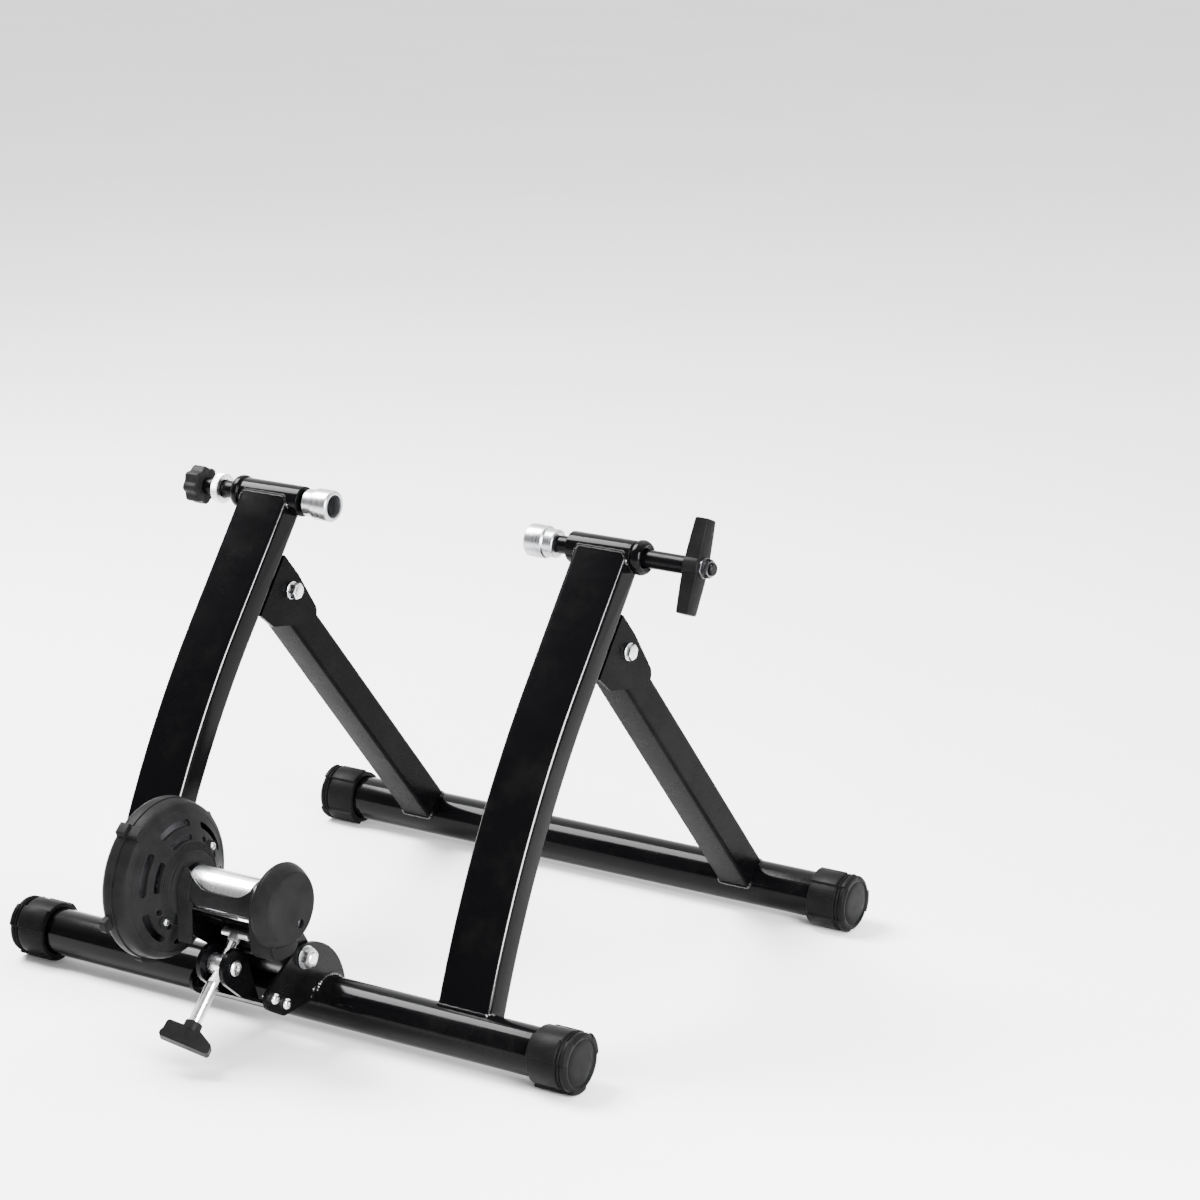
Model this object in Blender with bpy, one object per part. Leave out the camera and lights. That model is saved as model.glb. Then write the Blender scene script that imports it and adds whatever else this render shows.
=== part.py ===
import bpy
import bmesh
import math
from mathutils import Matrix, Vector
from mathutils.geometry import tessellate_polygon

# Folding bicycle training stand with a magnetic roller brake.
# Work axes: X to the right, Y forward, Z up, Y = 0 on the rear foot tube's axis, floor at Z = 0.
# Lengths are in metres. The finished set is centred on its own footprint at the end.

# Fits
GAP = 0.0003
RUN = 0.0005
SEGS = 24
FINE = 40
SMALL = 16

# Foot tubes and caps
FOOT_R = 0.019
FOOT_WALL = 0.0015
FOOT_LENGTH = 0.540
FOOT_SPREAD = 0.4135
CAP_PAD_R = 0.025
CAP_BODY_R = 0.0228
CAP_LENGTH = 0.035
CAP_END = 0.0042
CAP_PAD_HALF = 23.0
REAR_CAP_CLOCK = 36.0
FRONT_CAP_CLOCK = 72.0

# Uprights
UPRIGHT_INSET = 0.106
UPRIGHT_X = FOOT_LENGTH / 2 - UPRIGHT_INSET
UPRIGHT_W = 0.048
UPRIGHT_D = 0.025
UPRIGHT_WALL = 0.0016
UPRIGHT_CORNER = 0.004
TOP_SLOPE = 53.2
FOOT_SLOPE = 70.6
TOP_RUN = 0.121
BEND_R = 0.8065

# Wheel axle line
AXLE_Y = 0.1985
AXLE_Z = 0.356

# Front legs and their hinge
HINGE_Y = 0.190
HINGE_Z = 0.282
LEG_W = 0.030
LEG_D = 0.028
LEG_WALL = 0.0015
LEG_CORNER = 0.003
PLATE_T = 0.003
BOLT_R = 0.004
SLEEVE_R = 0.0065

# Axle clamps
BARREL_R = 0.0125
BARREL_UNDER = 0.033
BARREL_OVER = 0.026
BARREL_IN = UPRIGHT_X - BARREL_UNDER
BARREL_OUT = UPRIGHT_X + BARREL_OVER
COLLAR_R = 0.014
COLLAR_T = 0.0095
SPINDLE_R = 0.0072
CUP_R = 0.013
CUP_LENGTH = 0.026
RIGHT_CUP_REACH = 0.039
LEFT_CUP_REACH = 0.030
RIGHT_CUP_FACE = BARREL_IN - RIGHT_CUP_REACH
LEFT_CUP_FACE = BARREL_IN - LEFT_CUP_REACH
HANDLE_STAND = 0.053
HANDLE_X = BARREL_OUT + HANDLE_STAND
LEFT_KNOB_STAND = 0.042
HANDLE_T = 0.012
HANDLE_REACH = 0.0375
HANDLE_TILT = 22.0

# Brake unit
ROLLER_Y = -0.0722
ROLLER_Z = 0.126
ROLLER_R = 0.0165
ROLLER_HALF = 0.030
SHAFT_R = 0.005
ARM_IN = 0.031
ARM_T = 0.0025
BEARING_R = 0.013
BEARING_T = 0.008
BOSS_R = BEARING_R + 0.0033
HOUSING_R = 0.063
HOUSING_FACE_R = HOUSING_R - 0.002
HOUSING_WALL = 0.0025
HOUSING_VENTS = 6
VENT_CENTRE = 22.5
VENT_HALF = 21.5
SEAM_X = 0.0622
SHELL_END_X = 0.080
NECK_R = 0.0258
COVER_R = 0.0336
COVER_WALL = 0.0022
COVER_END_X = 0.0595
SHROUD_R = ROLLER_R + 0.0037
DISC_R = HOUSING_R - 0.011
DISC_T = 0.003
FLYWHEEL_R = COVER_R - 0.0076
FLYWHEEL_T = 0.009

# Brake unit mounting
PIVOT_Y = -0.029
PIVOT_Z = 0.069
PIVOT_BOLT_R = 0.005
PIVOT_TUBE_R = 0.008
BASE_IN = ARM_IN + ARM_T + 0.0005
BASE_T = 0.003
TRUNNION_Y = -0.0835
TRUNNION_Z = 0.0723
ROD_SLOPE = 46.0
ROD_R = 0.004
ROD_GRIP_R = 0.005
ROD_GRIP_DIST = 0.0155
PUSH_DIST = 0.0265
PUSH_R = 0.0032
PUSH_HALF = 0.0125
KNOB_DIST = 0.0605
EAR_IN = 0.0088
EAR_T = 0.004
EAR_R = 0.015

# Colours
BLACK_GLOSS = (0.012, 0.012, 0.013, 1.0)
GREY_PLASTIC = (0.035, 0.035, 0.037, 1.0)
DARK_PLASTIC = (0.024, 0.024, 0.025, 1.0)
STEEL = (0.60, 0.60, 0.61, 1.0)
CHROME = (0.78, 0.78, 0.79, 1.0)
ALUMINIUM = (0.70, 0.71, 0.72, 1.0)
IRON = (0.16, 0.16, 0.17, 1.0)

for old in list(bpy.data.objects):
    bpy.data.objects.remove(old, do_unlink=True)

ALL = []


def material(name, colour, rough, metal):
    mat = bpy.data.materials.new(name)
    mat.use_nodes = True
    node = mat.node_tree.nodes["Principled BSDF"]
    node.inputs["Base Color"].default_value = colour
    node.inputs["Roughness"].default_value = rough
    node.inputs["Metallic"].default_value = metal
    mat.diffuse_color = colour
    return mat


# Shape helpers. Each returns a new bmesh in work axes.
def turned(profile, axis, centre, segs=SEGS):
    # A closed (radius, position) outline spun about a line through centre along axis.
    bm = bmesh.new()
    direction = Vector(axis).normalized()
    side = direction.orthogonal().normalized()
    other = direction.cross(side)
    base = Vector(centre)
    rings = []
    for radius, along in profile:
        middle = base + direction * along
        if radius < 1e-7:
            rings.append([bm.verts.new(middle)] * segs)
            continue
        ring = []
        for k in range(segs):
            a = 2.0 * math.pi * k / segs
            spoke = side * math.cos(a) + other * math.sin(a)
            ring.append(bm.verts.new(middle + spoke * radius))
        rings.append(ring)
    count = len(rings)
    for i in range(count):
        lower = rings[i]
        upper = rings[(i + 1) % count]
        for k in range(segs):
            n = (k + 1) % segs
            corners = []
            for v in (lower[k], lower[n], upper[n], upper[k]):
                if v not in corners:
                    corners.append(v)
            if len(corners) >= 3:
                bm.faces.new(corners)
    bmesh.ops.recalc_face_normals(bm, faces=bm.faces)
    return bm


def cylinder(radius, start, end, segs=SEGS, chamfer=0.0):
    a = Vector(start)
    b = Vector(end)
    length = (b - a).length
    if chamfer > 0.0:
        profile = [(0.0, 0.0), (radius - chamfer, 0.0), (radius, chamfer),
                   (radius, length - chamfer), (radius - chamfer, length), (0.0, length)]
    else:
        profile = [(0.0, 0.0), (radius, 0.0), (radius, length), (0.0, length)]
    return turned(profile, b - a, a, segs)


def ring(outer, inner, start, end, segs=SEGS, chamfer=0.0):
    a = Vector(start)
    b = Vector(end)
    length = (b - a).length
    c = chamfer
    if c > 0.0:
        profile = [(inner, 0.0), (outer - c, 0.0), (outer, c),
                   (outer, length - c), (outer - c, length), (inner, length)]
    else:
        profile = [(inner, 0.0), (outer, 0.0), (outer, length), (inner, length)]
    return turned(profile, b - a, a, segs)


def slab(outline, start, end, holes=(), frame=None):
    # An outline with round holes, extruded from start to end along the frame's third axis.
    # With no frame the outline is in Y and Z and the extrusion runs along X.
    if frame is None:
        frame = Matrix(((0, 0, 1, 0), (1, 0, 0, 0), (0, 1, 0, 0), (0, 0, 0, 1)))
    loops = [list(outline)]
    for cy, cz, r, n in holes:
        loop = []
        for k in range(n):
            a = -2.0 * math.pi * k / n
            loop.append((cy + r * math.cos(a), cz + r * math.sin(a)))
        loops.append(loop)
    bm = bmesh.new()
    flat = [[Vector((p[0], p[1], 0.0)) for p in loop] for loop in loops]
    tris = tessellate_polygon(flat)
    low = []
    high = []
    for loop in loops:
        for p in loop:
            low.append(bm.verts.new(frame @ Vector((p[0], p[1], start))))
            high.append(bm.verts.new(frame @ Vector((p[0], p[1], end))))
    for tri in tris:
        bm.faces.new([low[i] for i in tri])
        bm.faces.new([high[i] for i in reversed(tri)])
    first = 0
    for loop in loops:
        n = len(loop)
        for k in range(n):
            a = first + k
            b = first + (k + 1) % n
            bm.faces.new((low[a], low[b], high[b], high[a]))
        first += n
    bmesh.ops.recalc_face_normals(bm, faces=bm.faces)
    return bm


def box(x0, x1, y0, y1, z0, z1):
    return slab([(y0, z0), (y1, z0), (y1, z1), (y0, z1)], x0, x1)


def rounded_rect(width, depth, corner, steps=2):
    points = []
    for sx, sy, start in ((1, 1, 0.0), (-1, 1, 90.0), (-1, -1, 180.0), (1, -1, 270.0)):
        for k in range(steps + 1):
            a = math.radians(start + 90.0 * k / steps)
            points.append((sx * (width / 2 - corner) + corner * math.cos(a),
                           sy * (depth / 2 - corner) + corner * math.sin(a)))
    return points


def swept_tube(path, x, width, depth, wall, corner):
    # A hollow rounded-rectangle section carried along a Y-Z path of (y, z, slope) entries.
    bm = bmesh.new()
    outer = rounded_rect(width, depth, corner)
    inner = rounded_rect(width - 2 * wall, depth - 2 * wall, max(corner - wall, 0.0006))
    n = len(outer)
    shells = []
    for section in (outer, inner):
        rings = []
        for y, z, slope in path:
            normal = Vector((0.0, math.sin(slope), -math.cos(slope)))
            rings.append([bm.verts.new(Vector((x + u, y, z)) + normal * v) for u, v in section])
        shells.append(rings)
    for rings in shells:
        for a, b in zip(rings, rings[1:]):
            for k in range(n):
                m = (k + 1) % n
                bm.faces.new((a[k], a[m], b[m], b[k]))
    for end in (0, -1):
        a = shells[0][end]
        b = shells[1][end]
        for k in range(n):
            m = (k + 1) % n
            bm.faces.new((a[k], a[m], b[m], b[k]))
    bmesh.ops.recalc_face_normals(bm, faces=bm.faces)
    return bm


def combine(bm, others, operation):
    # Exact boolean of a body with a list of bodies, applied at once.
    mesh = bpy.data.meshes.new("work")
    bm.to_mesh(mesh)
    bm.free()
    body = bpy.data.objects.new("work", mesh)
    bpy.context.scene.collection.objects.link(body)
    for other in others:
        tool_mesh = bpy.data.meshes.new("tool")
        other.to_mesh(tool_mesh)
        other.free()
        tool = bpy.data.objects.new("tool", tool_mesh)
        bpy.context.scene.collection.objects.link(tool)
        mod = body.modifiers.new("cut", "BOOLEAN")
        mod.operation = operation
        mod.solver = "EXACT"
        mod.object = tool
        bpy.context.view_layer.update()
        graph = bpy.context.evaluated_depsgraph_get()
        result = bpy.data.meshes.new_from_object(body.evaluated_get(graph))
        body.modifiers.remove(mod)
        previous = body.data
        body.data = result
        bpy.data.meshes.remove(previous)
        bpy.data.objects.remove(tool, do_unlink=True)
        bpy.data.meshes.remove(tool_mesh)
    out = bmesh.new()
    out.from_mesh(body.data)
    last = body.data
    bpy.data.objects.remove(body, do_unlink=True)
    bpy.data.meshes.remove(last)
    bmesh.ops.remove_doubles(out, verts=out.verts, dist=1e-6)
    bmesh.ops.dissolve_degenerate(out, edges=out.edges, dist=1e-6)
    return out


def cut(bm, *tools):
    return combine(bm, tools, "DIFFERENCE")


def join(bm, *others):
    return combine(bm, others, "UNION")


def finish(name, bm, mat, pivot=(0.0, 0.0, 0.0), sharp=30.0):
    bmesh.ops.translate(bm, verts=bm.verts, vec=-Vector(pivot))
    mesh = bpy.data.meshes.new(name)
    bm.to_mesh(mesh)
    bm.free()
    mesh.materials.append(mat)
    mesh.shade_smooth()
    mesh.set_sharp_from_angle(angle=math.radians(sharp))
    obj = bpy.data.objects.new(name, mesh)
    obj.location = Vector(pivot)
    bpy.context.scene.collection.objects.link(obj)
    ALL.append(obj)
    return obj


def mirrored(bm):
    bmesh.ops.scale(bm, verts=bm.verts, vec=(-1.0, 1.0, 1.0))
    bmesh.ops.reverse_faces(bm, faces=bm.faces)
    return bm


def circle_points(cy, cz, r, start, end, n):
    out = []
    for k in range(n + 1):
        a = math.radians(start + (end - start) * k / n)
        out.append((cy + r * math.cos(a), cz + r * math.sin(a)))
    return out


def hull(points):
    # Convex outline round a set of points, counter-clockwise.
    pts = sorted(set((round(p[0], 7), round(p[1], 7)) for p in points))

    def half(seq):
        out = []
        for p in seq:
            while len(out) > 1:
                ax, ay = out[-2]
                bx, by = out[-1]
                if (bx - ax) * (p[1] - ay) - (by - ay) * (p[0] - ax) <= 1e-12:
                    out.pop()
                else:
                    break
            out.append(p)
        return out[:-1]
    return half(pts) + half(pts[::-1])


def hexagon(flats, x0, x1, y, z, bore=0.0, turn=0.0):
    r = flats / math.sqrt(3.0)
    points = []
    for k in range(6):
        a = math.radians(60.0 * k + turn)
        points.append((y + r * math.cos(a), z + r * math.sin(a)))
    holes = [(y, z, bore, 24)] if bore > 0.0 else []
    return slab(points, x0, x1, holes)


# Foot caps: three raised pads round a lower body, a waist near the end and a chamfered end face.
def cap_angles():
    pad = CAP_PAD_HALF
    out = []
    for k in range(3):
        c = 120.0 * k
        for d in (-pad, -pad / 3.0, pad / 3.0, pad):
            out.append((c + d, True))
        low = 120.0 - 2.0 * pad - 1.6
        for i in range(4):
            out.append((c + pad + 0.8 + low * i / 3.0, False))
    return out


def cap_outline(clock, pad_r, body_r):
    points = []
    for angle, raised in cap_angles():
        a = math.radians(angle + clock)
        r = pad_r if raised else body_r
        points.append((-r * math.cos(a), r * math.sin(a)))
    return points


def cap_support(clock):
    return max(-z for y, z in cap_outline(clock, CAP_PAD_R, CAP_BODY_R))


REAR_Z = cap_support(REAR_CAP_CLOCK)
FRONT_Y = FOOT_SPREAD
FRONT_Z = cap_support(FRONT_CAP_CLOCK)
# The bore's corners stand out so that its flats clear the round tube.
CAP_BORE = (FOOT_R + GAP) / math.cos(math.radians((120.0 - 2.0 * CAP_PAD_HALF - 1.6) / 6.0))


def foot_cap(side, y, z, clock):
    inner = FOOT_LENGTH / 2 - CAP_LENGTH
    low = CAP_BODY_R
    high = CAP_PAD_R
    stations = [(0.0, high - 0.0012, low - 0.0008), (0.0012, high, low), (0.0326, high, low + 0.0004),
                (CAP_LENGTH, high - 0.0022, low - 0.0018)]
    bm = bmesh.new()
    rings = []
    for along, pad_r, body_r in stations:
        outline = cap_outline(clock, pad_r, body_r)
        rings.append([bm.verts.new((side * (inner + along), y + p[0], z + p[1])) for p in outline])
    bore = []
    for along in (0.0, CAP_LENGTH - CAP_END):
        loop = []
        for angle, raised in cap_angles():
            a = math.radians(angle + clock)
            loop.append(bm.verts.new((side * (inner + along), y - CAP_BORE * math.cos(a),
                                      z + CAP_BORE * math.sin(a))))
        bore.append(loop)
    face_rings = []
    for r, depth in ((0.0186, 0.0), (0.0178, 0.0008)):
        loop = []
        for angle, raised in cap_angles():
            a = math.radians(angle + clock)
            along = side * (inner + CAP_LENGTH - depth)
            loop.append(bm.verts.new((along, y - r * math.cos(a), z + r * math.sin(a))))
        face_rings.append(loop)
    n = len(rings[0])
    chain = [bore[1], bore[0]] + rings + face_rings
    for a, b in zip(chain, chain[1:]):
        for k in range(n):
            m = (k + 1) % n
            bm.faces.new((a[k], a[m], b[m], b[k]))
    bm.faces.new(chain[0])
    bm.faces.new(chain[-1])
    bmesh.ops.recalc_face_normals(bm, faces=bm.faces)
    return bm


def foot_tube(y, z):
    half = FOOT_LENGTH / 2 - CAP_END - GAP
    return ring(FOOT_R, FOOT_R - FOOT_WALL, (-half, y, z), (half, y, z), FINE)


# Upright path from the foot axis height up to the axle line.
s1 = math.radians(TOP_SLOPE)
s0 = math.radians(FOOT_SLOPE)
bend_top = (AXLE_Y - TOP_RUN * math.cos(s1), AXLE_Z - TOP_RUN * math.sin(s1))
bend_centre = (bend_top[0] + BEND_R * math.sin(s1), bend_top[1] - BEND_R * math.cos(s1))
bend_foot = (bend_centre[0] - BEND_R * math.sin(s0), bend_centre[1] + BEND_R * math.cos(s0))
foot_run = (bend_foot[1] - REAR_Z) / math.sin(s0)
UPRIGHT_PATH = [(bend_foot[0] - foot_run * math.cos(s0), REAR_Z, s0)]
BEND_STEPS = 8
for i in range(BEND_STEPS + 1):
    s = s0 + (s1 - s0) * i / BEND_STEPS
    UPRIGHT_PATH.append((bend_centre[0] - BEND_R * math.sin(s), bend_centre[1] + BEND_R * math.cos(s), s))
UPRIGHT_PATH.append((AXLE_Y, AXLE_Z, s1))

DOWN = Vector((-math.cos(s1), -math.sin(s1)))
OUT = Vector((math.sin(s1), -math.cos(s1)))
AXLE = Vector((AXLE_Y, AXLE_Z))
HINGE = Vector((HINGE_Y, HINGE_Z))


def upright_point(u, v):
    # u runs down the straight top of the upright from the axle line, v forward from its middle.
    p = AXLE + DOWN * u + OUT * v
    return (p.x, p.y)


hinge_u = (HINGE - AXLE).dot(DOWN)
hinge_v = (HINGE - AXLE).dot(OUT)
leg_dir = Vector((FRONT_Y - HINGE_Y, FRONT_Z - HINGE_Z)).normalized()
leg_up = Vector((-leg_dir.y, leg_dir.x))


def leg_point(along, up):
    p = HINGE + leg_dir * along + leg_up * up
    return (p.x, p.y)


def upright(side):
    x = side * UPRIGHT_X
    bm = swept_tube(UPRIGHT_PATH, x, UPRIGHT_W, UPRIGHT_D, UPRIGHT_WALL, UPRIGHT_CORNER)
    foot = cylinder(FOOT_R + GAP, (x - 0.05, 0.0, REAR_Z), (x + 0.05, 0.0, REAR_Z), FINE)
    barrel = cylinder(BARREL_R + GAP, (x - 0.05, AXLE_Y, AXLE_Z), (x + 0.05, AXLE_Y, AXLE_Z), SEGS)
    return cut(bm, foot, barrel)


WEB_V = UPRIGHT_D / 2 + GAP


def hinge_bracket(side):
    # A folded channel: a web on the upright's front face and two cheeks round the leg.
    lower = leg_point(0.0, -LEG_D / 2)
    nose = leg_point(0.0385, 0.0)
    outline = [upright_point(hinge_u - 0.0205, WEB_V)]
    outline.append(leg_point(-0.002, LEG_D / 2 + 0.001))
    outline += circle_points(nose[0] - 0.002, nose[1] + 0.0035, 0.0105, 40.0, -62.0, 8)
    outline.append((lower[0] - 0.014, lower[1] - 0.0165))
    outline.append(upright_point(hinge_u + 0.0345, WEB_V + 0.002))
    outline.append(upright_point(hinge_u + 0.0345, WEB_V))
    x0 = UPRIGHT_X - UPRIGHT_W / 2
    x1 = UPRIGHT_X + UPRIGHT_W / 2
    bm = slab(outline, x0, x1, [(HINGE_Y, HINGE_Z, BOLT_R + GAP, SMALL)])
    a = upright_point(hinge_u - 0.060, WEB_V + PLATE_T)
    b = upright_point(hinge_u + 0.070, WEB_V + PLATE_T)
    c = upright_point(hinge_u + 0.070, WEB_V + 0.120)
    d = upright_point(hinge_u - 0.060, WEB_V + 0.120)
    bm = cut(bm, slab([a, b, c, d], x0 + PLATE_T, x1 - PLATE_T))
    if side < 0:
        bm = mirrored(bm)
    return bm


def leg(side):
    x = side * UPRIGHT_X
    slope = math.atan2(leg_dir.y, leg_dir.x)
    back = 0.030
    start = leg_point(-back, 0.0)
    path = [(start[0], start[1], slope), (FRONT_Y, FRONT_Z, slope)]
    bm = swept_tube(path, x, LEG_W, LEG_D, LEG_WALL, LEG_CORNER)
    foot = cylinder(FOOT_R + GAP, (x - 0.05, FRONT_Y, FRONT_Z), (x + 0.05, FRONT_Y, FRONT_Z), FINE)
    hole = cylinder(SLEEVE_R + GAP, (x - 0.05, HINGE_Y, HINGE_Z), (x + 0.05, HINGE_Y, HINGE_Z), SMALL)
    # The end stops against the bracket's web when open and clears it on the way in.
    stop = hinge_v - WEB_V - PLATE_T - 0.0006
    relief = stop - 0.0004
    # Local axes: first along OUT, second along DOWN.
    local = [(-stop, -0.060), (0.060, -0.060), (0.060, 0.060), (0.0, 0.060), (0.0, relief)]
    for k in range(1, 12):
        a = math.radians(90.0 + 7.5 * k)
        local.append((relief * math.cos(a), relief * math.sin(a)))
    local.append((-stop, 0.0))
    outline = []
    for o, d in local:
        p = HINGE + OUT * o + DOWN * d
        outline.append((p.x, p.y))
    wide = slab(outline, x - 0.05, x + 0.05)
    # Everything behind the hinge that lies outside the kept outline goes.
    blank = [leg_point(-0.060, -0.050), leg_point(0.0, -0.050),
             leg_point(0.0, 0.050), leg_point(-0.060, 0.050)]
    waste = cut(slab(blank, x - 0.04, x + 0.04), wide)
    return cut(bm, foot, hole, waste)


# Axle clamps, built on the right and mirrored for the left.
def clamp_barrel():
    start = (BARREL_IN, AXLE_Y, AXLE_Z)
    end = (BARREL_OUT, AXLE_Y, AXLE_Z)
    return ring(BARREL_R, SPINDLE_R + 0.0004, start, end, SEGS, 0.0006)


def clamp_collar():
    x0 = BARREL_OUT + GAP
    x1 = x0 + COLLAR_T
    neck = COLLAR_R - 0.0022
    profile = [(SPINDLE_R + RUN, 0.0), (neck, 0.0), (neck, 0.0014), (COLLAR_R, 0.0022),
               (COLLAR_R, COLLAR_T - 0.0023), (COLLAR_R - 0.0016, COLLAR_T), (SPINDLE_R + RUN, COLLAR_T)]
    return turned(profile, (1, 0, 0), (x0, AXLE_Y, AXLE_Z))


def clamp_cup(face):
    # A cone cup that takes the nut at the end of the wheel's axle.
    mouth = 0.0095
    seat = 0.0088
    neck = 0.0062 + GAP
    floor = 0.0140
    head = 0.0042
    profile = [(mouth, 0.0), (CUP_R - 0.0012, 0.0), (CUP_R, 0.0012), (CUP_R, CUP_LENGTH * 0.62),
               (CUP_R - 0.0018, CUP_LENGTH * 0.66), (CUP_R - 0.0018, CUP_LENGTH - 0.0008),
               (CUP_R - 0.0026, CUP_LENGTH), (neck, CUP_LENGTH), (neck, floor + head),
               (seat + GAP, floor + head), (seat + GAP, floor - 0.0008), (seat, floor - 0.0008)]
    return turned(profile, (1, 0, 0), (face, AXLE_Y, AXLE_Z))


def clamp_spindle(face, end, tail_r, tail):
    floor = 0.0140
    head = 0.0042
    back = CUP_LENGTH
    profile = [(0.0, floor), (0.0078, floor), (0.0083, floor + 0.0005), (0.0083, floor + head - GAP),
               (0.0060, floor + head - GAP), (0.0060, back + 0.0010), (SPINDLE_R, back + 0.0022),
               (SPINDLE_R, end - face - 0.0006), (SPINDLE_R - 0.0006, end - face), (tail_r, end - face),
               (tail_r, end - face + tail), (0.0, end - face + tail)]
    return turned(profile, (1, 0, 0), (face, AXLE_Y, AXLE_Z))


def t_handle():
    x0 = HANDLE_X - HANDLE_T / 2
    x1 = HANDLE_X + HANDLE_T / 2
    hub = turned([(0.0052, -0.0015), (0.0088, -0.0015), (0.0102, 0.0), (0.0102, HANDLE_T),
                  (0.0086, HANDLE_T + 0.0012), (0.0052, HANDLE_T + 0.0012)], (1, 0, 0), (x0, AXLE_Y, AXLE_Z), 24)
    tilt = math.radians(HANDLE_TILT)
    along = Vector((0.0, math.sin(tilt), math.cos(tilt)))
    across = Vector((0.0, math.cos(tilt), -math.sin(tilt)))
    bars = []
    for sign in (1, -1):
        bm = bmesh.new()
        rings = []
        for reach, half_x, half_c in ((0.0062, 0.0070, 0.0086), (0.012, 0.0069, 0.0084),
                                      (HANDLE_REACH - 0.0015, HANDLE_T / 2, 0.0070),
                                      (HANDLE_REACH, HANDLE_T / 2 - 0.0014, 0.0056)):
            c = min(half_x, half_c) * 0.42
            section = [(half_x, half_c - c), (half_x - c, half_c),
                       (-half_x + c, half_c), (-half_x, half_c - c),
                       (-half_x, -half_c + c), (-half_x + c, -half_c),
                       (half_x - c, -half_c), (half_x, -half_c + c)]
            mid = Vector((HANDLE_X, AXLE_Y, AXLE_Z)) + along * (sign * reach)
            rings.append([bm.verts.new(mid + Vector((u, 0, 0)) + across * v) for u, v in section])
        for a, b in zip(rings, rings[1:]):
            for k in range(8):
                m = (k + 1) % 8
                bm.faces.new((a[k], a[m], b[m], b[k]))
        bm.faces.new(rings[0])
        bm.faces.new(rings[-1])
        bmesh.ops.recalc_face_normals(bm, faces=bm.faces)
        bars.append(bm)
    return join(hub, *bars)


# Materials
def paint(name, rough=0.16):
    return material(name, BLACK_GLOSS, rough, 0.0)


def plastic(name, colour=GREY_PLASTIC, rough=0.5):
    return material(name, colour, rough, 0.0)


def metal(name, colour=STEEL, rough=0.28):
    return material(name, colour, rough, 1.0)


# Rear frame
finish("rear_foot_tube", foot_tube(0.0, REAR_Z), paint("rear_foot_paint"))
finish("rear_cap_right", foot_cap(1, 0.0, REAR_Z, REAR_CAP_CLOCK), plastic("rear_cap_right_plastic"))
finish("rear_cap_left", foot_cap(-1, 0.0, REAR_Z, REAR_CAP_CLOCK), plastic("rear_cap_left_plastic"))
for side, tag in ((1, "right"), (-1, "left")):
    finish("upright_" + tag, upright(side), paint("upright_%s_paint" % tag))
    finish("hinge_bracket_" + tag, hinge_bracket(side), paint("hinge_bracket_%s_paint" % tag))
finish("clamp_barrel_right", clamp_barrel(), paint("barrel_right_paint"))
finish("clamp_barrel_left", mirrored(clamp_barrel()), paint("barrel_left_paint"))
finish("clamp_collar_right", clamp_collar(), paint("collar_right_paint"))
finish("clamp_collar_left", mirrored(clamp_collar()), paint("collar_left_paint"))

HEAD_X = UPRIGHT_X + UPRIGHT_W / 2 + GAP
INNER_X = UPRIGHT_X - UPRIGHT_W / 2 - GAP


def hinge_bolt():
    # Washer faced hex head outside, shank through both cheeks, thread end inside.
    shank_end = (INNER_X - 0.0088, HINGE_Y, HINGE_Z)
    shank = cylinder(BOLT_R, shank_end, (HEAD_X + 0.004, HINGE_Y, HINGE_Z), SMALL, 0.0005)
    washer = cylinder(0.0082, (HEAD_X, HINGE_Y, HINGE_Z), (HEAD_X + 0.0015, HINGE_Y, HINGE_Z), 24)
    head = hexagon(0.0130, HEAD_X + 0.0012, HEAD_X + 0.0065, HINGE_Y, HINGE_Z, 0.0, 12.0)
    return join(washer, head, shank)


def flange_nut(flats, flange_r, flange_t, height, bore, x, y, z, turn=0.0):
    # Flange against x, hexagon beyond it, facing +X.
    c = 0.0003
    profile = [(0.0, 0.0), (flange_r, 0.0), (flange_r, flange_t - c),
               (flange_r - 2 * c, flange_t), (0.0, flange_t)]
    flange = turned(profile, (1, 0, 0), (x, y, z), 24)
    nut = hexagon(flats, x + flange_t - c, x + height, y, z, 0.0, turn)
    hole = cylinder(bore, (x - 0.002, y, z), (x + height + 0.002, y, z), SMALL)
    return cut(join(flange, nut), hole)


def hinge_nut():
    # On the inner end of the left bolt, so that it faces the middle.
    return flange_nut(0.0130, 0.0082, 0.0014, 0.0080, BOLT_R + GAP, -INNER_X, HINGE_Y, HINGE_Z)


finish("hinge_bolt_right", hinge_bolt(), metal("hinge_bolt_right_steel"))
finish("hinge_bolt_left", mirrored(hinge_bolt()), metal("hinge_bolt_left_steel"))
finish("hinge_nut_right", mirrored(hinge_nut()), metal("hinge_nut_right_steel"))
finish("hinge_nut_left", hinge_nut(), metal("hinge_nut_left_steel"))

# Brake unit base: two side plates joined by a saddle over the rear foot tube.
SADDLE_R = FOOT_R + GAP
arc_y = PIVOT_Y - 0.002
arc_z = PIVOT_Z - 0.042
LOBE_A = (-0.068, 0.048)
LOBE_B = (-0.054, 0.0395)


def base_outline(notch):
    out = []
    out += circle_points(arc_y, arc_z, 0.0525, 97.0, 10.0, 12)
    front_z = arc_z + 0.0525 * math.sin(math.radians(10.0))
    reach = math.asin(max(min((front_z - 0.0005 - REAR_Z) / notch, 1.0), -1.0))
    steps = 10
    end = math.pi - math.asin(max(min((0.0315 - REAR_Z) / notch, 1.0), -1.0))
    for k in range(steps + 1):
        a = reach + (end - reach) * k / steps
        out.append((notch * math.cos(a), REAR_Z + notch * math.sin(a)))
    out.append((LOBE_B[0] + 0.012, LOBE_B[1] - 0.0085))
    out += circle_points(LOBE_B[0], LOBE_B[1], 0.0095, -80.0, -118.0, 3)
    out += circle_points(LOBE_A[0], LOBE_A[1], 0.0100, -120.0, -225.0, 8)
    return out


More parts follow.
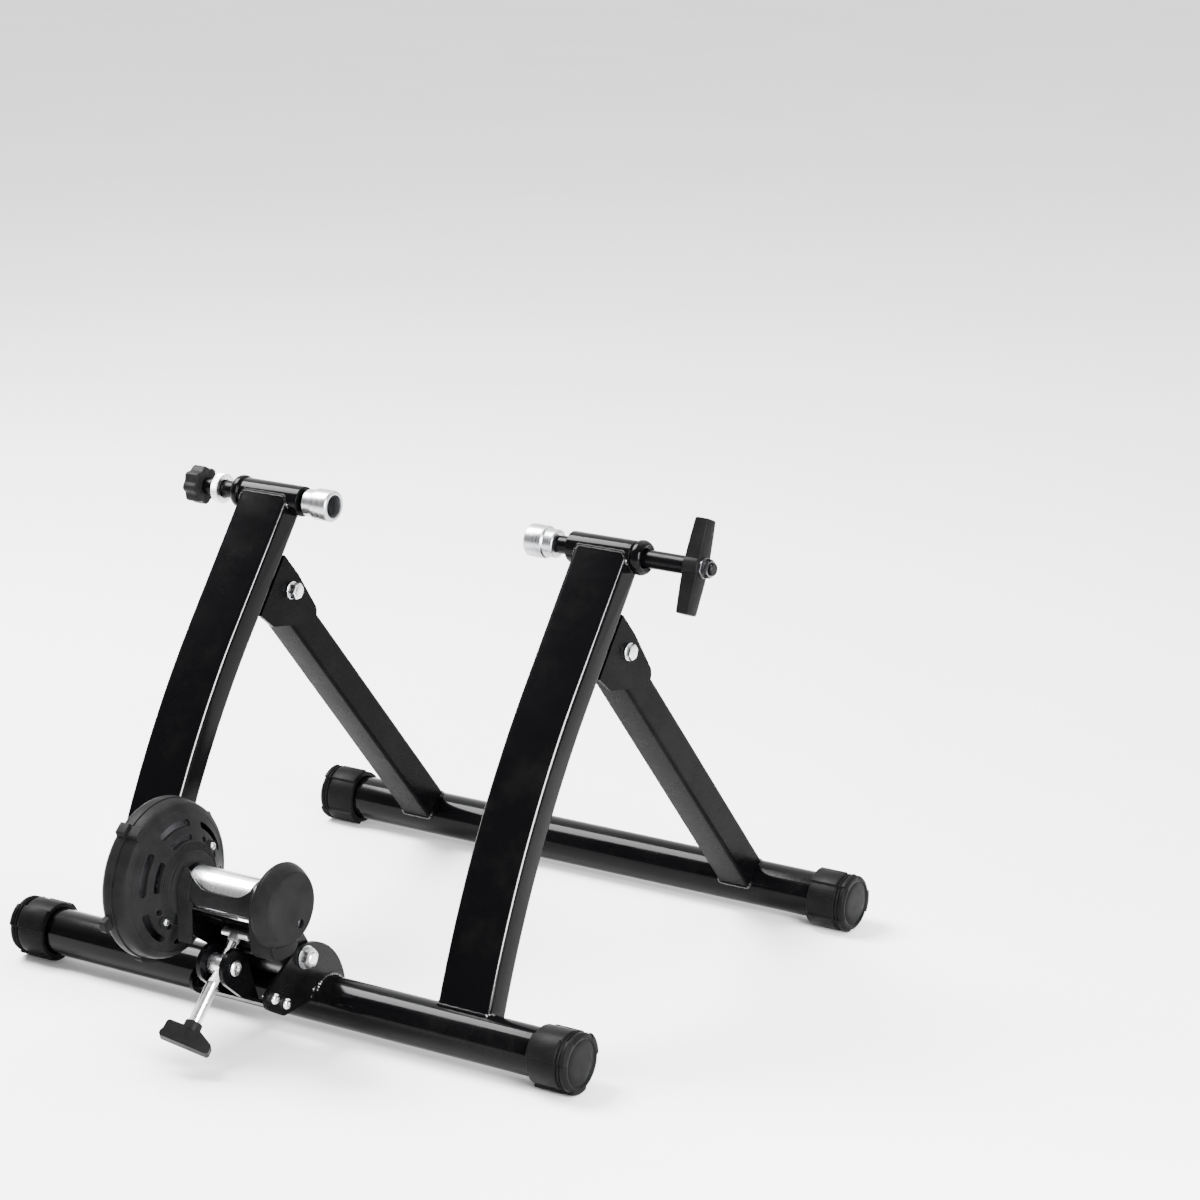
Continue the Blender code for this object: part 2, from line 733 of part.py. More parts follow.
def base_bracket():
    pivot_hole = (PIVOT_Y, PIVOT_Z, PIVOT_BOLT_R + GAP, SMALL)
    bolt_holes = [(LOBE_A[0], LOBE_A[1], 0.0025 + GAP, 12), (LOBE_B[0], LOBE_B[1], 0.0025 + GAP, 12)]
    plates = []
    for side in (1, -1):
        a = side * BASE_IN
        b = side * (BASE_IN + BASE_T)
        outline = base_outline(SADDLE_R + 0.0001)
        plates.append(slab(outline, min(a, b), max(a, b), [pivot_hole] + bolt_holes))
    reach = BASE_IN + 0.0015
    outer = circle_points(0.0, REAR_Z, SADDLE_R + BASE_T, 35.0, 128.0, 10)
    inner = circle_points(0.0, REAR_Z, SADDLE_R, 128.0, 35.0, 10)
    saddle = slab(outer + inner, -reach, reach)
    return join(saddle, *plates)


finish("brake_base", base_bracket(), paint("brake_base_paint", 0.2))

# Trunnion bracket: a cross web bolted between the side plates, with two ears for the trunnion.
web_dir = (Vector(LOBE_B) - Vector(LOBE_A)).normalized()
web_up = Vector((-web_dir.y, web_dir.x))
LOBE_MID = (Vector(LOBE_A) + Vector(LOBE_B)) / 2


def web_point(along, up):
    p = LOBE_MID + web_dir * along + web_up * up
    return (p.x, p.y)


def trunnion_bracket():
    flange_out = BASE_IN - GAP
    flange_in = flange_out - 0.0025
    holes = [(LOBE_A[0], LOBE_A[1], 0.0025 + GAP, 12), (LOBE_B[0], LOBE_B[1], 0.0025 + GAP, 12)]
    flange = hull(circle_points(LOBE_A[0], LOBE_A[1], 0.0065, 0.0, 330.0, 11)
                  + circle_points(LOBE_B[0], LOBE_B[1], 0.0065, 0.0, 330.0, 11))
    parts = []
    for side in (1, -1):
        a = side * flange_in
        b = side * flange_out
        parts.append(slab(flange, min(a, b), max(a, b), holes))
    web = [web_point(-0.0130, -0.0062), web_point(0.0125, -0.0062), web_point(0.0125, -0.0034),
           web_point(-0.0130, -0.0034)]
    body = slab(web, -flange_out + 0.0012, flange_out - 0.0012)
    ear = hull(circle_points(TRUNNION_Y, TRUNNION_Z, EAR_R, 0.0, 345.0, 23)
               + [web_point(-0.0135, -0.0058), web_point(0.0118, -0.0058)])
    for side in (1, -1):
        a = side * EAR_IN
        b = side * (EAR_IN + EAR_T)
        parts.append(slab(ear, min(a, b), max(a, b), [(TRUNNION_Y, TRUNNION_Z, 0.0046, SMALL)]))
    return join(body, *parts)


finish("trunnion_bracket", trunnion_bracket(), paint("trunnion_bracket_paint", 0.2))


def small_bolt(y, z):
    x1 = BASE_IN + BASE_T + GAP
    x0 = BASE_IN - 0.0065
    shank = cylinder(0.0025, (x0, y, z), (x1 + 0.001, y, z), 12)
    head = turned([(0.0, 0.0), (0.0044, 0.0), (0.0044, 0.0012), (0.0032, 0.0026), (0.0, 0.0030)],
                  (1, 0, 0), (x1, y, z), SMALL)
    return join(head, shank)


for tag, y, z in (("rear", LOBE_A[0], LOBE_A[1]), ("front", LOBE_B[0], LOBE_B[1])):
    finish("bracket_bolt_right_" + tag, small_bolt(y, z), metal("bracket_bolt_right_%s_steel" % tag))
    finish("bracket_bolt_left_" + tag, mirrored(small_bolt(y, z)), metal("bracket_bolt_left_%s_steel" % tag))

PLATE_X = BASE_IN + BASE_T + GAP


PIVOT_FLATS = 0.0140
PIVOT_NUT_T = 0.0068


def pivot_bolt():
    start = (-PLATE_X - 0.002, PIVOT_Y, PIVOT_Z)
    end = (PLATE_X + PIVOT_NUT_T + 0.0014, PIVOT_Y, PIVOT_Z)
    shank = cylinder(PIVOT_BOLT_R, start, end, SMALL, 0.0006)
    head = hexagon(PIVOT_FLATS, -PLATE_X - 0.0062, -PLATE_X, PIVOT_Y, PIVOT_Z)
    return join(head, shank)


def pivot_nut():
    bore = PIVOT_BOLT_R + GAP
    flange_r = PIVOT_FLATS / 2 + 0.0023
    return flange_nut(PIVOT_FLATS, flange_r, 0.0014, PIVOT_NUT_T, bore, PLATE_X, PIVOT_Y, PIVOT_Z, 8.0)


finish("pivot_bolt", pivot_bolt(), metal("pivot_bolt_steel"))
finish("pivot_nut", pivot_nut(), metal("pivot_nut_steel"))

# Front frame, turning about the hinge line
HP = (0.0, HINGE_Y, HINGE_Z)
finish("front_foot_tube", foot_tube(FRONT_Y, FRONT_Z), paint("front_foot_paint"), HP)
front_cap = foot_cap(1, FRONT_Y, FRONT_Z, FRONT_CAP_CLOCK)
finish("front_cap_right", front_cap, plastic("front_cap_right_plastic"), HP)
front_cap = foot_cap(-1, FRONT_Y, FRONT_Z, FRONT_CAP_CLOCK)
finish("front_cap_left", front_cap, plastic("front_cap_left_plastic"), HP)
for side, tag in ((1, "right"), (-1, "left")):
    finish("leg_" + tag, leg(side), paint("leg_%s_paint" % tag), HP)
for side, tag in ((1, "right"), (-1, "left")):
    a = side * (UPRIGHT_X - UPRIGHT_W / 2 + PLATE_T + GAP)
    b = side * (UPRIGHT_X + UPRIGHT_W / 2 - PLATE_T - GAP)
    start = (min(a, b), HINGE_Y, HINGE_Z)
    end = (max(a, b), HINGE_Y, HINGE_Z)
    sleeve = ring(SLEEVE_R, BOLT_R + RUN, start, end, SMALL)
    finish("hinge_sleeve_" + tag, sleeve, metal("hinge_sleeve_%s_steel" % tag, STEEL, 0.35), HP)

# Right clamp
AP = (0.0, AXLE_Y, AXLE_Z)
finish("clamp_cup_right", clamp_cup(RIGHT_CUP_FACE), metal("cup_right_steel", STEEL, 0.35), AP)
handle_end = HANDLE_X - HANDLE_T / 2 - 0.0018
right_spindle = clamp_spindle(RIGHT_CUP_FACE, handle_end, 0.0050, 0.0245)
finish("clamp_spindle_right", right_spindle, paint("spindle_right_paint", 0.3), AP)
finish("clamp_handle", t_handle(), plastic("handle_plastic", BLACK_GLOSS, 0.22), AP)
nut_x = HANDLE_X + HANDLE_T / 2 + 0.0015


handle_nut = flange_nut(0.0130, 0.0080, 0.0013, 0.0066, 0.0050 + GAP, nut_x, AXLE_Y, AXLE_Z, 15.0)
finish("handle_nut", handle_nut, metal("handle_nut_chrome", CHROME, 0.12), AP)

# Left clamp
finish("clamp_cup_left", mirrored(clamp_cup(LEFT_CUP_FACE)), metal("cup_left_steel", STEEL, 0.35), AP)
left_end = BARREL_OUT + LEFT_KNOB_STAND
left_spindle = mirrored(clamp_spindle(LEFT_CUP_FACE, left_end, 0.0050, 0.016))
finish("clamp_spindle_left", left_spindle, paint("spindle_left_paint", 0.3), AP)


def left_knob():
    bm = bmesh.new()
    rings = []
    for along, scale in ((0.0, 0.90), (0.0015, 1.0), (0.0125, 1.0), (0.0140, 0.90)):
        loop = []
        for k in range(32):
            a = 2.0 * math.pi * k / 32
            r = (0.0150 + 0.0011 * math.cos(8 * a)) * scale
            x = left_end + 0.0010 + along
            loop.append(bm.verts.new((x, AXLE_Y + r * math.cos(a), AXLE_Z + r * math.sin(a))))
        rings.append(loop)
    for a, b in zip(rings, rings[1:]):
        for k in range(32):
            m = (k + 1) % 32
            bm.faces.new((a[k], a[m], b[m], b[k]))
    bm.faces.new(rings[0])
    bm.faces.new(rings[-1])
    bmesh.ops.recalc_face_normals(bm, faces=bm.faces)
    start = (left_end - 0.01, AXLE_Y, AXLE_Z)
    end = (left_end + 0.03, AXLE_Y, AXLE_Z)
    bore = cylinder(0.0050 + GAP, start, end, SMALL)
    return mirrored(cut(bm, bore))


finish("clamp_knob_left", left_knob(), plastic("left_knob_plastic", DARK_PLASTIC, 0.45), AP)
lock_x = BARREL_OUT + GAP + COLLAR_T + 0.0135
lock_start = (-lock_x - 0.0065, AXLE_Y, AXLE_Z)
lock = ring(0.0125, SPINDLE_R + RUN, lock_start, (-lock_x, AXLE_Y, AXLE_Z), SEGS, 0.0008)
finish("lock_ring_left", lock, metal("lock_ring_steel"), AP)

# Swing arm, turning about the pivot bolt
PP = (0.0, PIVOT_Y, PIVOT_Z)
RY = ROLLER_Y
RZ = ROLLER_Z
rod_a = math.radians(ROD_SLOPE)
ROD = Vector((0.0, math.cos(rod_a), math.sin(rod_a)))
TR = Vector((0.0, TRUNNION_Y, TRUNNION_Z))
PUSH = TR + ROD * PUSH_DIST
WEB_SEAT = PUSH_R + 0.0009
WEB_T = 0.0025


def arm_web_point(along, up):
    # up follows the adjusting rod, along runs down the web towards the pivot.
    p = Vector((PUSH.y, PUSH.z)) + Vector((ROD.y, ROD.z)) * (WEB_SEAT + up)
    p += Vector((ROD.z, -ROD.y)) * along
    return (p.x, p.y)


def swing_arm():
    pivot_along = (Vector((PIVOT_Y, PIVOT_Z)) - Vector((PUSH.y, PUSH.z))).dot(Vector((ROD.z, -ROD.y)))
    low = pivot_along - 0.0066
    bend = -0.0140
    kink = Vector(arm_web_point(bend, 0.0))
    away = Vector((-0.925, 0.381))
    away_up = Vector((0.381, 0.925))
    tip = kink + away * 0.0125
    outline = [arm_web_point(low, 0.0), arm_web_point(low, WEB_T), arm_web_point(bend + 0.0008, WEB_T)]
    outline += [tuple(tip + away_up * WEB_T), tuple(tip), tuple(kink)]
    inside = ARM_IN + 0.0010
    web = slab(outline, -inside, inside)
    tube = cylinder(PIVOT_TUBE_R, (-inside, PIVOT_Y, PIVOT_Z), (inside, PIVOT_Y, PIVOT_Z), 24)
    sides = []
    for side in (1, -1):
        rim = circle_points(RY, RZ, BOSS_R + 0.0009, 0.0, 345.0, 23)
        foot = circle_points(PIVOT_Y, PIVOT_Z, 0.0125, 0.0, 337.5, 15)
        extra = [(RY - 0.0112, RZ - 0.0345)]
        sheet = hull(rim + foot + extra)
        a = side * ARM_IN
        b = side * (ARM_IN + ARM_T)
        sides.append(slab(sheet, min(a, b), max(a, b)))
        c = side * (ARM_IN + ARM_T - 0.0008)
        d = side * (ARM_IN + BEARING_T + 0.0012)
        sides.append(cylinder(BOSS_R, (min(c, d), RY, RZ), (max(c, d), RY, RZ), SEGS))
    body = join(web, tube, *sides)
    wide = ARM_IN + ARM_T + 0.010
    bores = [cylinder(PIVOT_BOLT_R + GAP, (-wide, PIVOT_Y, PIVOT_Z), (wide, PIVOT_Y, PIVOT_Z), SMALL)]
    for side in (1, -1):
        c = side * (ARM_IN - 0.0020)
        d = side * (ARM_IN + BEARING_T + 0.0060)
        bores.append(cylinder(BEARING_R + GAP, (min(c, d), RY, RZ), (max(c, d), RY, RZ), SEGS))
    return cut(body, *bores)


finish("swing_arm", swing_arm(), paint("swing_arm_paint", 0.3), PP)


def bearing(side):
    a = side * (ARM_IN + 0.0006)
    b = side * (ARM_IN + 0.0006 + BEARING_T - 0.0006)
    lo = min(a, b)
    hi = max(a, b)
    length = hi - lo
    inner_race = SHAFT_R + 0.0026
    outer_race = BEARING_R - 0.0020
    profile = [(SHAFT_R + GAP, 0.0), (inner_race, 0.0), (inner_race + 0.0003, 0.0007),
               (outer_race - 0.0003, 0.0007), (outer_race, 0.0), (BEARING_R, 0.0),
               (BEARING_R, length), (SHAFT_R + GAP, length)]
    return turned(profile, (1, 0, 0), (lo, RY, RZ), 24)


finish("shaft_bearing_right", bearing(1), metal("bearing_right_steel", STEEL, 0.25), PP)
finish("shaft_bearing_left", bearing(-1), metal("bearing_left_steel", STEEL, 0.25), PP)


# Brake housing, left of the roller
def polar(r, angle):
    # Angles about the roller line run from straight back towards up.
    a = math.radians(angle)
    return (RY - r * math.cos(a), RZ + r * math.sin(a))


def cone_x(r):
    # Distance left of the middle of the housing's cone at a radius.
    return CONE_LOW + (CONE_HIGH - CONE_LOW) * (r - CONE_LOW_R) / (CONE_HIGH_R - CONE_LOW_R)


CONE_LOW_R = NECK_R + 0.0008
CONE_LOW = 0.0362
CONE_HIGH_R = HOUSING_FACE_R - 0.0012
CONE_HIGH = 0.0526
OUTER_VENT = (CONE_HIGH_R - 0.0163, CONE_HIGH_R - 0.0112)
INNER_VENT = (CONE_HIGH_R - 0.0260, CONE_HIGH_R - 0.0217)
SCREWS_R = (INNER_VENT[0] + INNER_VENT[1]) / 2
SCREW_ANGLES = (-37.5, 142.5)
SCREW_FACE = cone_x(SCREWS_R - 0.0033)


def arc_slot(r0, r1, start, end, x0, x1, n=4):
    outer = []
    inner = []
    for k in range(n + 1):
        a = math.radians(start + (end - start) * k / n)
        outer.append((RY - r1 * math.cos(a), RZ + r1 * math.sin(a)))
        inner.append((RY - r0 * math.cos(a), RZ + r0 * math.sin(a)))
    return slab(outer + inner[::-1], x0, x1)


def housing_block(angle, r0, r1, half, x0, x1):
    a = math.radians(angle)
    radial = Vector((-math.cos(a), math.sin(a)))
    across = Vector((radial.y, -radial.x))
    c = Vector((RY, RZ))
    pts = []
    for r, t in ((r0, -half), (r1, -half * 0.8), (r1, half * 0.8), (r0, half)):
        p = c + radial * r + across * t
        pts.append((p.x, p.y))
    return slab(pts, x0, x1)


neck_x = ARM_IN + ARM_T + GAP


def inner_shell():
    w = HOUSING_WALL
    hr = HOUSING_R
    fr = HOUSING_FACE_R
    # Positions run to the left from the arm's left plate.
    seam = SEAM_X - neck_x
    face = 0.0530 - neck_x
    dome = [(NECK_R, 0.0), (CONE_LOW_R, CONE_LOW - neck_x), (CONE_HIGH_R, CONE_HIGH - neck_x),
            (fr, face + 0.0020), (hr - 0.0008, seam)]
    back_high = CONE_HIGH_R - w
    back_low = CONE_LOW_R + 0.0009
    back = [(hr - w - 0.0008, seam), (fr - w, face + 0.0030),
            (back_high, cone_x(back_high) + 0.0026 - neck_x),
            (back_low, cone_x(back_low) + 0.0026 - neck_x),
            (NECK_R - w, 0.0026), (BOSS_R + RUN, 0.0026), (BOSS_R + RUN, 0.0)]
    bm = turned(dome + back, (-1, 0, 0), (-neck_x, RY, RZ), FINE)
    blocks = [housing_block(50.5, fr - 0.0012, hr + 0.0022, 0.0050, -SEAM_X, -0.0530)]
    for angle in SCREW_ANGLES:
        y, z = polar(SCREWS_R, angle)
        x = cone_x(SCREWS_R)
        blocks.append(cylinder(0.0046, (-x - 0.0022, y, z), (-SCREW_FACE, y, z), SMALL))
    bm = join(bm, *blocks)
    slots = []
    for k in range(HOUSING_VENTS):
        c = VENT_CENTRE + 360.0 * k / HOUSING_VENTS
        near = min(abs((c - angle + 180.0) % 360.0 - 180.0) for angle in SCREW_ANGLES)
        slots.append(arc_slot(*OUTER_VENT, c - VENT_HALF, c + VENT_HALF, -0.0610, -0.0400))
        first = c - VENT_HALF + 2.0
        last = c + VENT_HALF - 2.0
        if near > 10.0:
            slots.append(arc_slot(*INNER_VENT, first, last, -0.0600, -0.0370))
        else:
            slots.append(arc_slot(*INNER_VENT, c + 11.5, last, -0.0600, -0.0370, 2))
            slots.append(arc_slot(*INNER_VENT, first, c - 11.5, -0.0600, -0.0370, 2))
    return cut(bm, *slots)


def outer_shell():
    w = HOUSING_WALL
    hr = HOUSING_R
    seam = SEAM_X + GAP
    depth = SHELL_END_X - seam
    profile = [(0.0, depth), (hr - 0.0190, depth), (hr - 0.0100, depth - 0.0016),
               (hr - 0.0020, depth - 0.0070),
               (hr, depth - 0.0105), (hr, 0.0), (hr - w, 0.0), (hr - w, depth - 0.0100),
               (hr - 0.0120, depth - 0.0040), (hr - 0.0194, depth - w), (0.0, depth - w)]
    bm = turned(profile, (-1, 0, 0), (-seam, RY, RZ), FINE)
    blocks = [housing_block(50.5, hr - 0.0012, hr + 0.0044, 0.0060, -0.0705, -seam),
              housing_block(-17.0, hr - 0.0012, hr + 0.0076, 0.0056, -0.0705, -0.0655),
              housing_block(-70.0, hr - 0.0012, hr + 0.0022, 0.0100, -0.0700, -seam),
              housing_block(150.0, hr - 0.0012, hr + 0.0040, 0.0070, -0.0720, -seam)]
    bm = join(bm, *blocks)
    slots = []
    x0 = -SHELL_END_X - 0.002
    for k in range(HOUSING_VENTS):
        c = VENT_CENTRE + 360.0 * k / HOUSING_VENTS
        slots.append(arc_slot(hr - 0.0300, hr - 0.0268, c - 20.0, c + 20.0, x0, x0 + 0.008, 3))
    return cut(bm, *slots)


finish("housing_inner_shell", inner_shell(), plastic("inner_shell_plastic", GREY_PLASTIC, 0.45), PP)
finish("housing_outer_shell", outer_shell(), plastic("outer_shell_plastic", GREY_PLASTIC, 0.45), PP)

for tag, angle in (("rear", SCREW_ANGLES[0]), ("front", SCREW_ANGLES[1])):
    y, z = polar(SCREWS_R, angle)
    head = [(0.0, 0.0), (0.0030, 0.0), (0.0030, 0.0010), (0.0018, 0.0021), (0.0, 0.0023)]
    screw = turned(head, (1, 0, 0), (-SCREW_FACE + GAP, y, z), 12)
    finish("housing_screw_" + tag, screw, metal("housing_screw_%s_steel" % tag), PP)


def magnet_carrier():
    # A steel backing plate fixed to the outer shell, facing the spinning disc.
    x1 = -SHELL_END_X + HOUSING_WALL + MAGNET_PLATE_T
    x0 = -SHELL_END_X + HOUSING_WALL + GAP
    return ring(MAGNET_OUT_R + 0.0007, SHAFT_R + 0.0070, (x0, RY, RZ), (x1, RY, RZ), SEGS)


MAGNET_PLATE_T = 0.0028
MAGNET_T = 0.0040
MAGNET_OUT_R = DISC_R - 0.0095
MAGNET_IN_R = MAGNET_OUT_R - 0.0155
magnet_x = -SHELL_END_X + HOUSING_WALL + MAGNET_PLATE_T + GAP
magnet = ring(MAGNET_OUT_R, MAGNET_IN_R, (magnet_x, RY, RZ), (magnet_x + MAGNET_T, RY, RZ), SEGS)
finish("magnet_plate", magnet_carrier(), metal("magnet_plate_steel", STEEL, 0.4), PP)
finish("brake_magnet_ring", magnet, material("magnet_ferrite", (0.05, 0.05, 0.055, 1.0), 0.6, 0.2), PP)


# Roller cover: one moulding with a shroud behind the roller, a left pillar, a drum over the flywheel
# and a lobe that hangs from the drum.
def shroud(stations, inner, outer, rows):
    # Part of a tube about the roller line; each station gives x and the lowest and highest angle.
    bm = bmesh.new()
    grids = []
    for r in (outer, inner):
        grid = []
        for x, first, last in stations:
            column = []
            for k in range(rows + 1):
                y, z = polar(r, first + (last - first) * k / rows)
                column.append(bm.verts.new((x, y, z)))
            grid.append(column)
        grids.append(grid)
    for grid in grids:
        for a, b in zip(grid, grid[1:]):
            for k in range(rows):
                bm.faces.new((a[k], a[k + 1], b[k + 1], b[k]))
    big, small = grids
    for i in range(len(stations) - 1):
        for k in (0, rows):
            bm.faces.new((big[i][k], big[i + 1][k], small[i + 1][k], small[i][k]))
    for i in (0, -1):
        for k in range(rows):
            bm.faces.new((big[i][k], big[i][k + 1], small[i][k + 1], small[i][k]))
    bmesh.ops.recalc_face_normals(bm, faces=bm.faces)
    return bm


LOBE_BACK = (-0.0075, -0.0300)
LOBE_FRONT = (0.0045, -0.0300)
LOBE_R = 0.0108
LOBE_END_X = 0.0535


def lobe_outline(r, extra=()):
    # Two arcs below the roller line and any further corners, all counted from that line.
    points = circle_points(LOBE_BACK[0], LOBE_BACK[1], r, 90.0, 330.0, 12)
    points += circle_points(LOBE_FRONT[0], LOBE_FRONT[1], r, 210.0, 450.0, 12)
    return [(RY + y, RZ + z) for y, z in hull(points + list(extra))]


def roller_cover():
    x0 = BASE_IN - 0.0002
    d = COVER_END_X - x0
    w = COVER_WALL
    r = COVER_R
    neck = SHROUD_R - 0.0004
    outside = [(0.0, d), (r - 0.0066, d), (r - 0.0058, d - 0.0006), (r - 0.0016, d - 0.0064),
               (r, 0.0150), (r - 0.0010, 0.0122), (r - 0.0044, 0.0086), (r - 0.0096, 0.0056),
               (neck, 0.0), (0.0, 0.0)]
    inside = [(0.0, -0.0010), (neck - 0.0012, -0.0010), (neck - 0.0012, 0.0), (r - 0.0120, 0.0064),
              (r - 0.0068, 0.0096), (r - 0.0033, 0.0130), (r - w, 0.0154), (r - w - 0.0016, d - 0.0068),
              (r - w - 0.0064, d - w - 0.0012), (r - w - 0.0076, d - w), (0.0, d - w)]
    drum = turned(outside, (1, 0, 0), (x0, RY, RZ), 32)
    hollow = turned(inside, (1, 0, 0), (x0, RY, RZ), 32)
    lobe = slab(lobe_outline(LOBE_R, [(-0.0207, -0.0060), (0.0170, -0.0100)]), x0 + 0.0001, LOBE_END_X)
    pocket = slab(lobe_outline(LOBE_R - w), x0 - 0.0010, LOBE_END_X - w)
    low = -21.0
    scoop = ((-0.0225, 41.0), (-0.0185, 32.5), (-0.0145, 25.0), (-0.0108, 20.0),
             (-0.0050, 17.8), (0.0085, 17.0), (0.0163, 17.6), (0.0233, 20.5),
             (0.0275, 26.0), (0.0305, 33.0), (0.0345, 46.0))
    middle = shroud([(x, low, high) for x, high in scoop], SHROUD_R - 0.0020, SHROUD_R, 5)
    collar = ((-0.0335, 60.0), (-0.0300, 58.0), (-0.0260, 50.0), (-0.0220, 40.0))
    sleeve = shroud([(x, -30.0, high) for x, high in collar], SHROUD_R - 0.0012, SHROUD_R + 0.0016, 6)
    y1 = RY - SHROUD_R + 0.0007
    pillar = box(-0.0333, -0.0205, y1 - 0.0020, y1, RZ - 0.0385, RZ - 0.0040)
    body = join(cut(join(drum, lobe), hollow, pocket), middle, sleeve, pillar)
    hole_y = RY + 0.0106
    hole_z = RZ - 0.0155
    start = (COVER_END_X - 0.006, hole_y, hole_z)
    return cut(body, cylinder(0.0035, start, (COVER_END_X + 0.002, hole_y, hole_z), SMALL))


finish("roller_cover", roller_cover(), plastic("roller_cover_plastic", GREY_PLASTIC, 0.5), PP)

# Rotor, spinning about the roller line
RP = (0.0, RY, RZ)


def roller():
    half = ROLLER_HALF
    c = 0.0010
    profile = [(SHAFT_R + GAP, -half), (ROLLER_R - c, -half), (ROLLER_R, -half + c), (ROLLER_R, half - c),
               (ROLLER_R - c, half), (SHAFT_R + GAP, half)]
    return turned(profile, (1, 0, 0), RP, FINE)


finish("roller", roller(), metal("roller_chrome", CHROME, 0.08), RP)
SHAFT_LEFT = -0.0725
SHAFT_RIGHT = 0.0565
shaft = cylinder(SHAFT_R, (SHAFT_LEFT, RY, RZ), (SHAFT_RIGHT, RY, RZ), 24, 0.0006)
finish("rotor_shaft", shaft, metal("shaft_steel"), RP)

disc_x = magnet_x + MAGNET_T + 0.0014


def brake_disc():
    hub = 0.0100
    profile = [(SHAFT_R + GAP, 0.0), (DISC_R, 0.0), (DISC_R, DISC_T), (hub, DISC_T),
               (hub, DISC_T + 0.0040), (SHAFT_R + GAP, DISC_T + 0.0040)]
    return turned(profile, (1, 0, 0), (disc_x, RY, RZ), FINE)


finish("brake_disc", brake_disc(), metal("disc_aluminium", ALUMINIUM, 0.3), RP)
fly_x = 0.0462


def flywheel():
    t = FLYWHEEL_T
    rim = FLYWHEEL_R - 0.0055
    hub = SHAFT_R + 0.0080
    profile = [(SHAFT_R + GAP, 0.0), (FLYWHEEL_R - 0.0026, 0.0), (FLYWHEEL_R, 0.0028),
               (FLYWHEEL_R, t - 0.001),
               (FLYWHEEL_R - 0.001, t), (rim, t), (rim - 0.0010, t - 0.0015),
               (hub + 0.0010, t - 0.0015), (hub, t), (SHAFT_R + GAP, t)]
    return turned(profile, (1, 0, 0), (fly_x, RY, RZ), SEGS)


finish("flywheel", flywheel(), metal("flywheel_iron", IRON, 0.5), RP)
clip_x = fly_x + FLYWHEEL_T + GAP
clip = ring(SHAFT_R + 0.0030, SHAFT_R + GAP, (clip_x, RY, RZ), (clip_x + 0.0012, RY, RZ), SMALL)
finish("shaft_clip", clip, metal("shaft_clip_steel"), RP)

# Height adjuster: trunnion, push bar, rod and knob
TP = tuple(TR)


def trunnion():
    half = EAR_IN - GAP
    ear = EAR_IN + EAR_T + GAP
    journal = 0.0043
    middle = ROD_R + 0.0040
    profile = [(0.0, -ear - 0.0020), (0.0046, -ear - 0.0020), (0.0062, -ear - 0.0008), (0.0062, -ear),
               (journal, -ear), (journal, -half), (middle, -half), (middle, half), (journal, half),
               (journal, ear),
               (0.0062, ear), (0.0062, ear + 0.0008), (0.0046, ear + 0.0020), (0.0, ear + 0.0020)]
    bm = turned(profile, (1, 0, 0), TR, 20)
    bore = cylinder(ROD_R + GAP, TR - ROD * 0.02, TR + ROD * 0.02, SMALL)
    return cut(bm, bore)


finish("trunnion", trunnion(), metal("trunnion_steel", STEEL, 0.3), TP)


def push_bar():
    half = Vector((PUSH_HALF, 0, 0))
    bar = cylinder(PUSH_R, PUSH - half, PUSH + half, SMALL, 0.0008)
    socket = cylinder(0.0048, PUSH - ROD * 0.0065, PUSH - ROD * 0.0006, SMALL)
    bore = cylinder(0.0026 + GAP, PUSH - ROD * 0.010, PUSH - ROD * 0.0022, 12)
    return cut(join(bar, socket), bore)


finish("push_bar", push_bar(), metal("push_bar_steel", STEEL, 0.25), tuple(PUSH))

KNOB = TR - ROD * KNOB_DIST


def adjuster_rod():
    # Thread through the trunnion, a thinner pin in the push bar and a thicker plain grip down to the knob.
    top = PUSH_DIST - 0.0065 - GAP
    tip = PUSH_DIST - 0.0022 - GAP
    low = -KNOB_DIST + 0.0030
    grip = -ROD_GRIP_DIST
    profile = [(0.0, low), (ROD_GRIP_R - 0.0005, low), (ROD_GRIP_R, low + 0.0005),
               (ROD_GRIP_R, grip - 0.0008),
               (ROD_R, grip), (ROD_R, top), (0.0026, top), (0.0026, tip), (0.0, tip)]
    return turned(profile, ROD, TR, 20)


finish("adjuster_rod", adjuster_rod(), metal("rod_chrome", CHROME, 0.15), tuple(TR))

KNOB_TURN = 28.0
KNOB_HALF = 0.0200
KNOB_T = 0.0120
KNOB_FOOT = 0.0085
KNOB_BOSS_R = ROD_GRIP_R + 0.0018


def adjuster_knob():
    # A moulded knob across the end of the rod: a tall square wing, a lower wing with a sloping shoulder,
    # a flat foot and a boss round the rod.
    turn = math.radians(KNOB_TURN)
    across = Vector((math.cos(turn), 0.0, 0.0)) + ROD.cross(Vector((1, 0, 0))) * math.sin(turn)
    normal = ROD.cross(across)
    frame = Matrix((
        (across.x, ROD.x, normal.x, KNOB.x),
        (across.y, ROD.y, normal.y, KNOB.y),
        (across.z, ROD.z, normal.z, KNOB.z),
        (0, 0, 0, 1)))
    half = KNOB_HALF
    foot = -KNOB_FOOT
    outline = [(-half + 0.0014, foot), (half - 0.0014, foot), (half, foot + 0.0014), (half, -0.0014),
               (half - 0.0012, -0.0002), (0.0070, 0.0062), (-half + 0.0030, 0.0056), (-half + 0.0014, 0.0040),
               (-half + 0.0010, -0.0020), (-half - 0.0004, -0.0048), (-half - 0.0004, foot + 0.0014)]
    wings = slab(outline, -KNOB_T / 2, KNOB_T / 2, (), frame)
    boss = cylinder(KNOB_BOSS_R, KNOB + ROD * 0.0040, KNOB + ROD * 0.0116, 20, 0.0006)
    bore = cylinder(ROD_GRIP_R + GAP, KNOB + ROD * 0.0026, KNOB + ROD * 0.03, SMALL)
    return cut(join(wings, boss), bore)


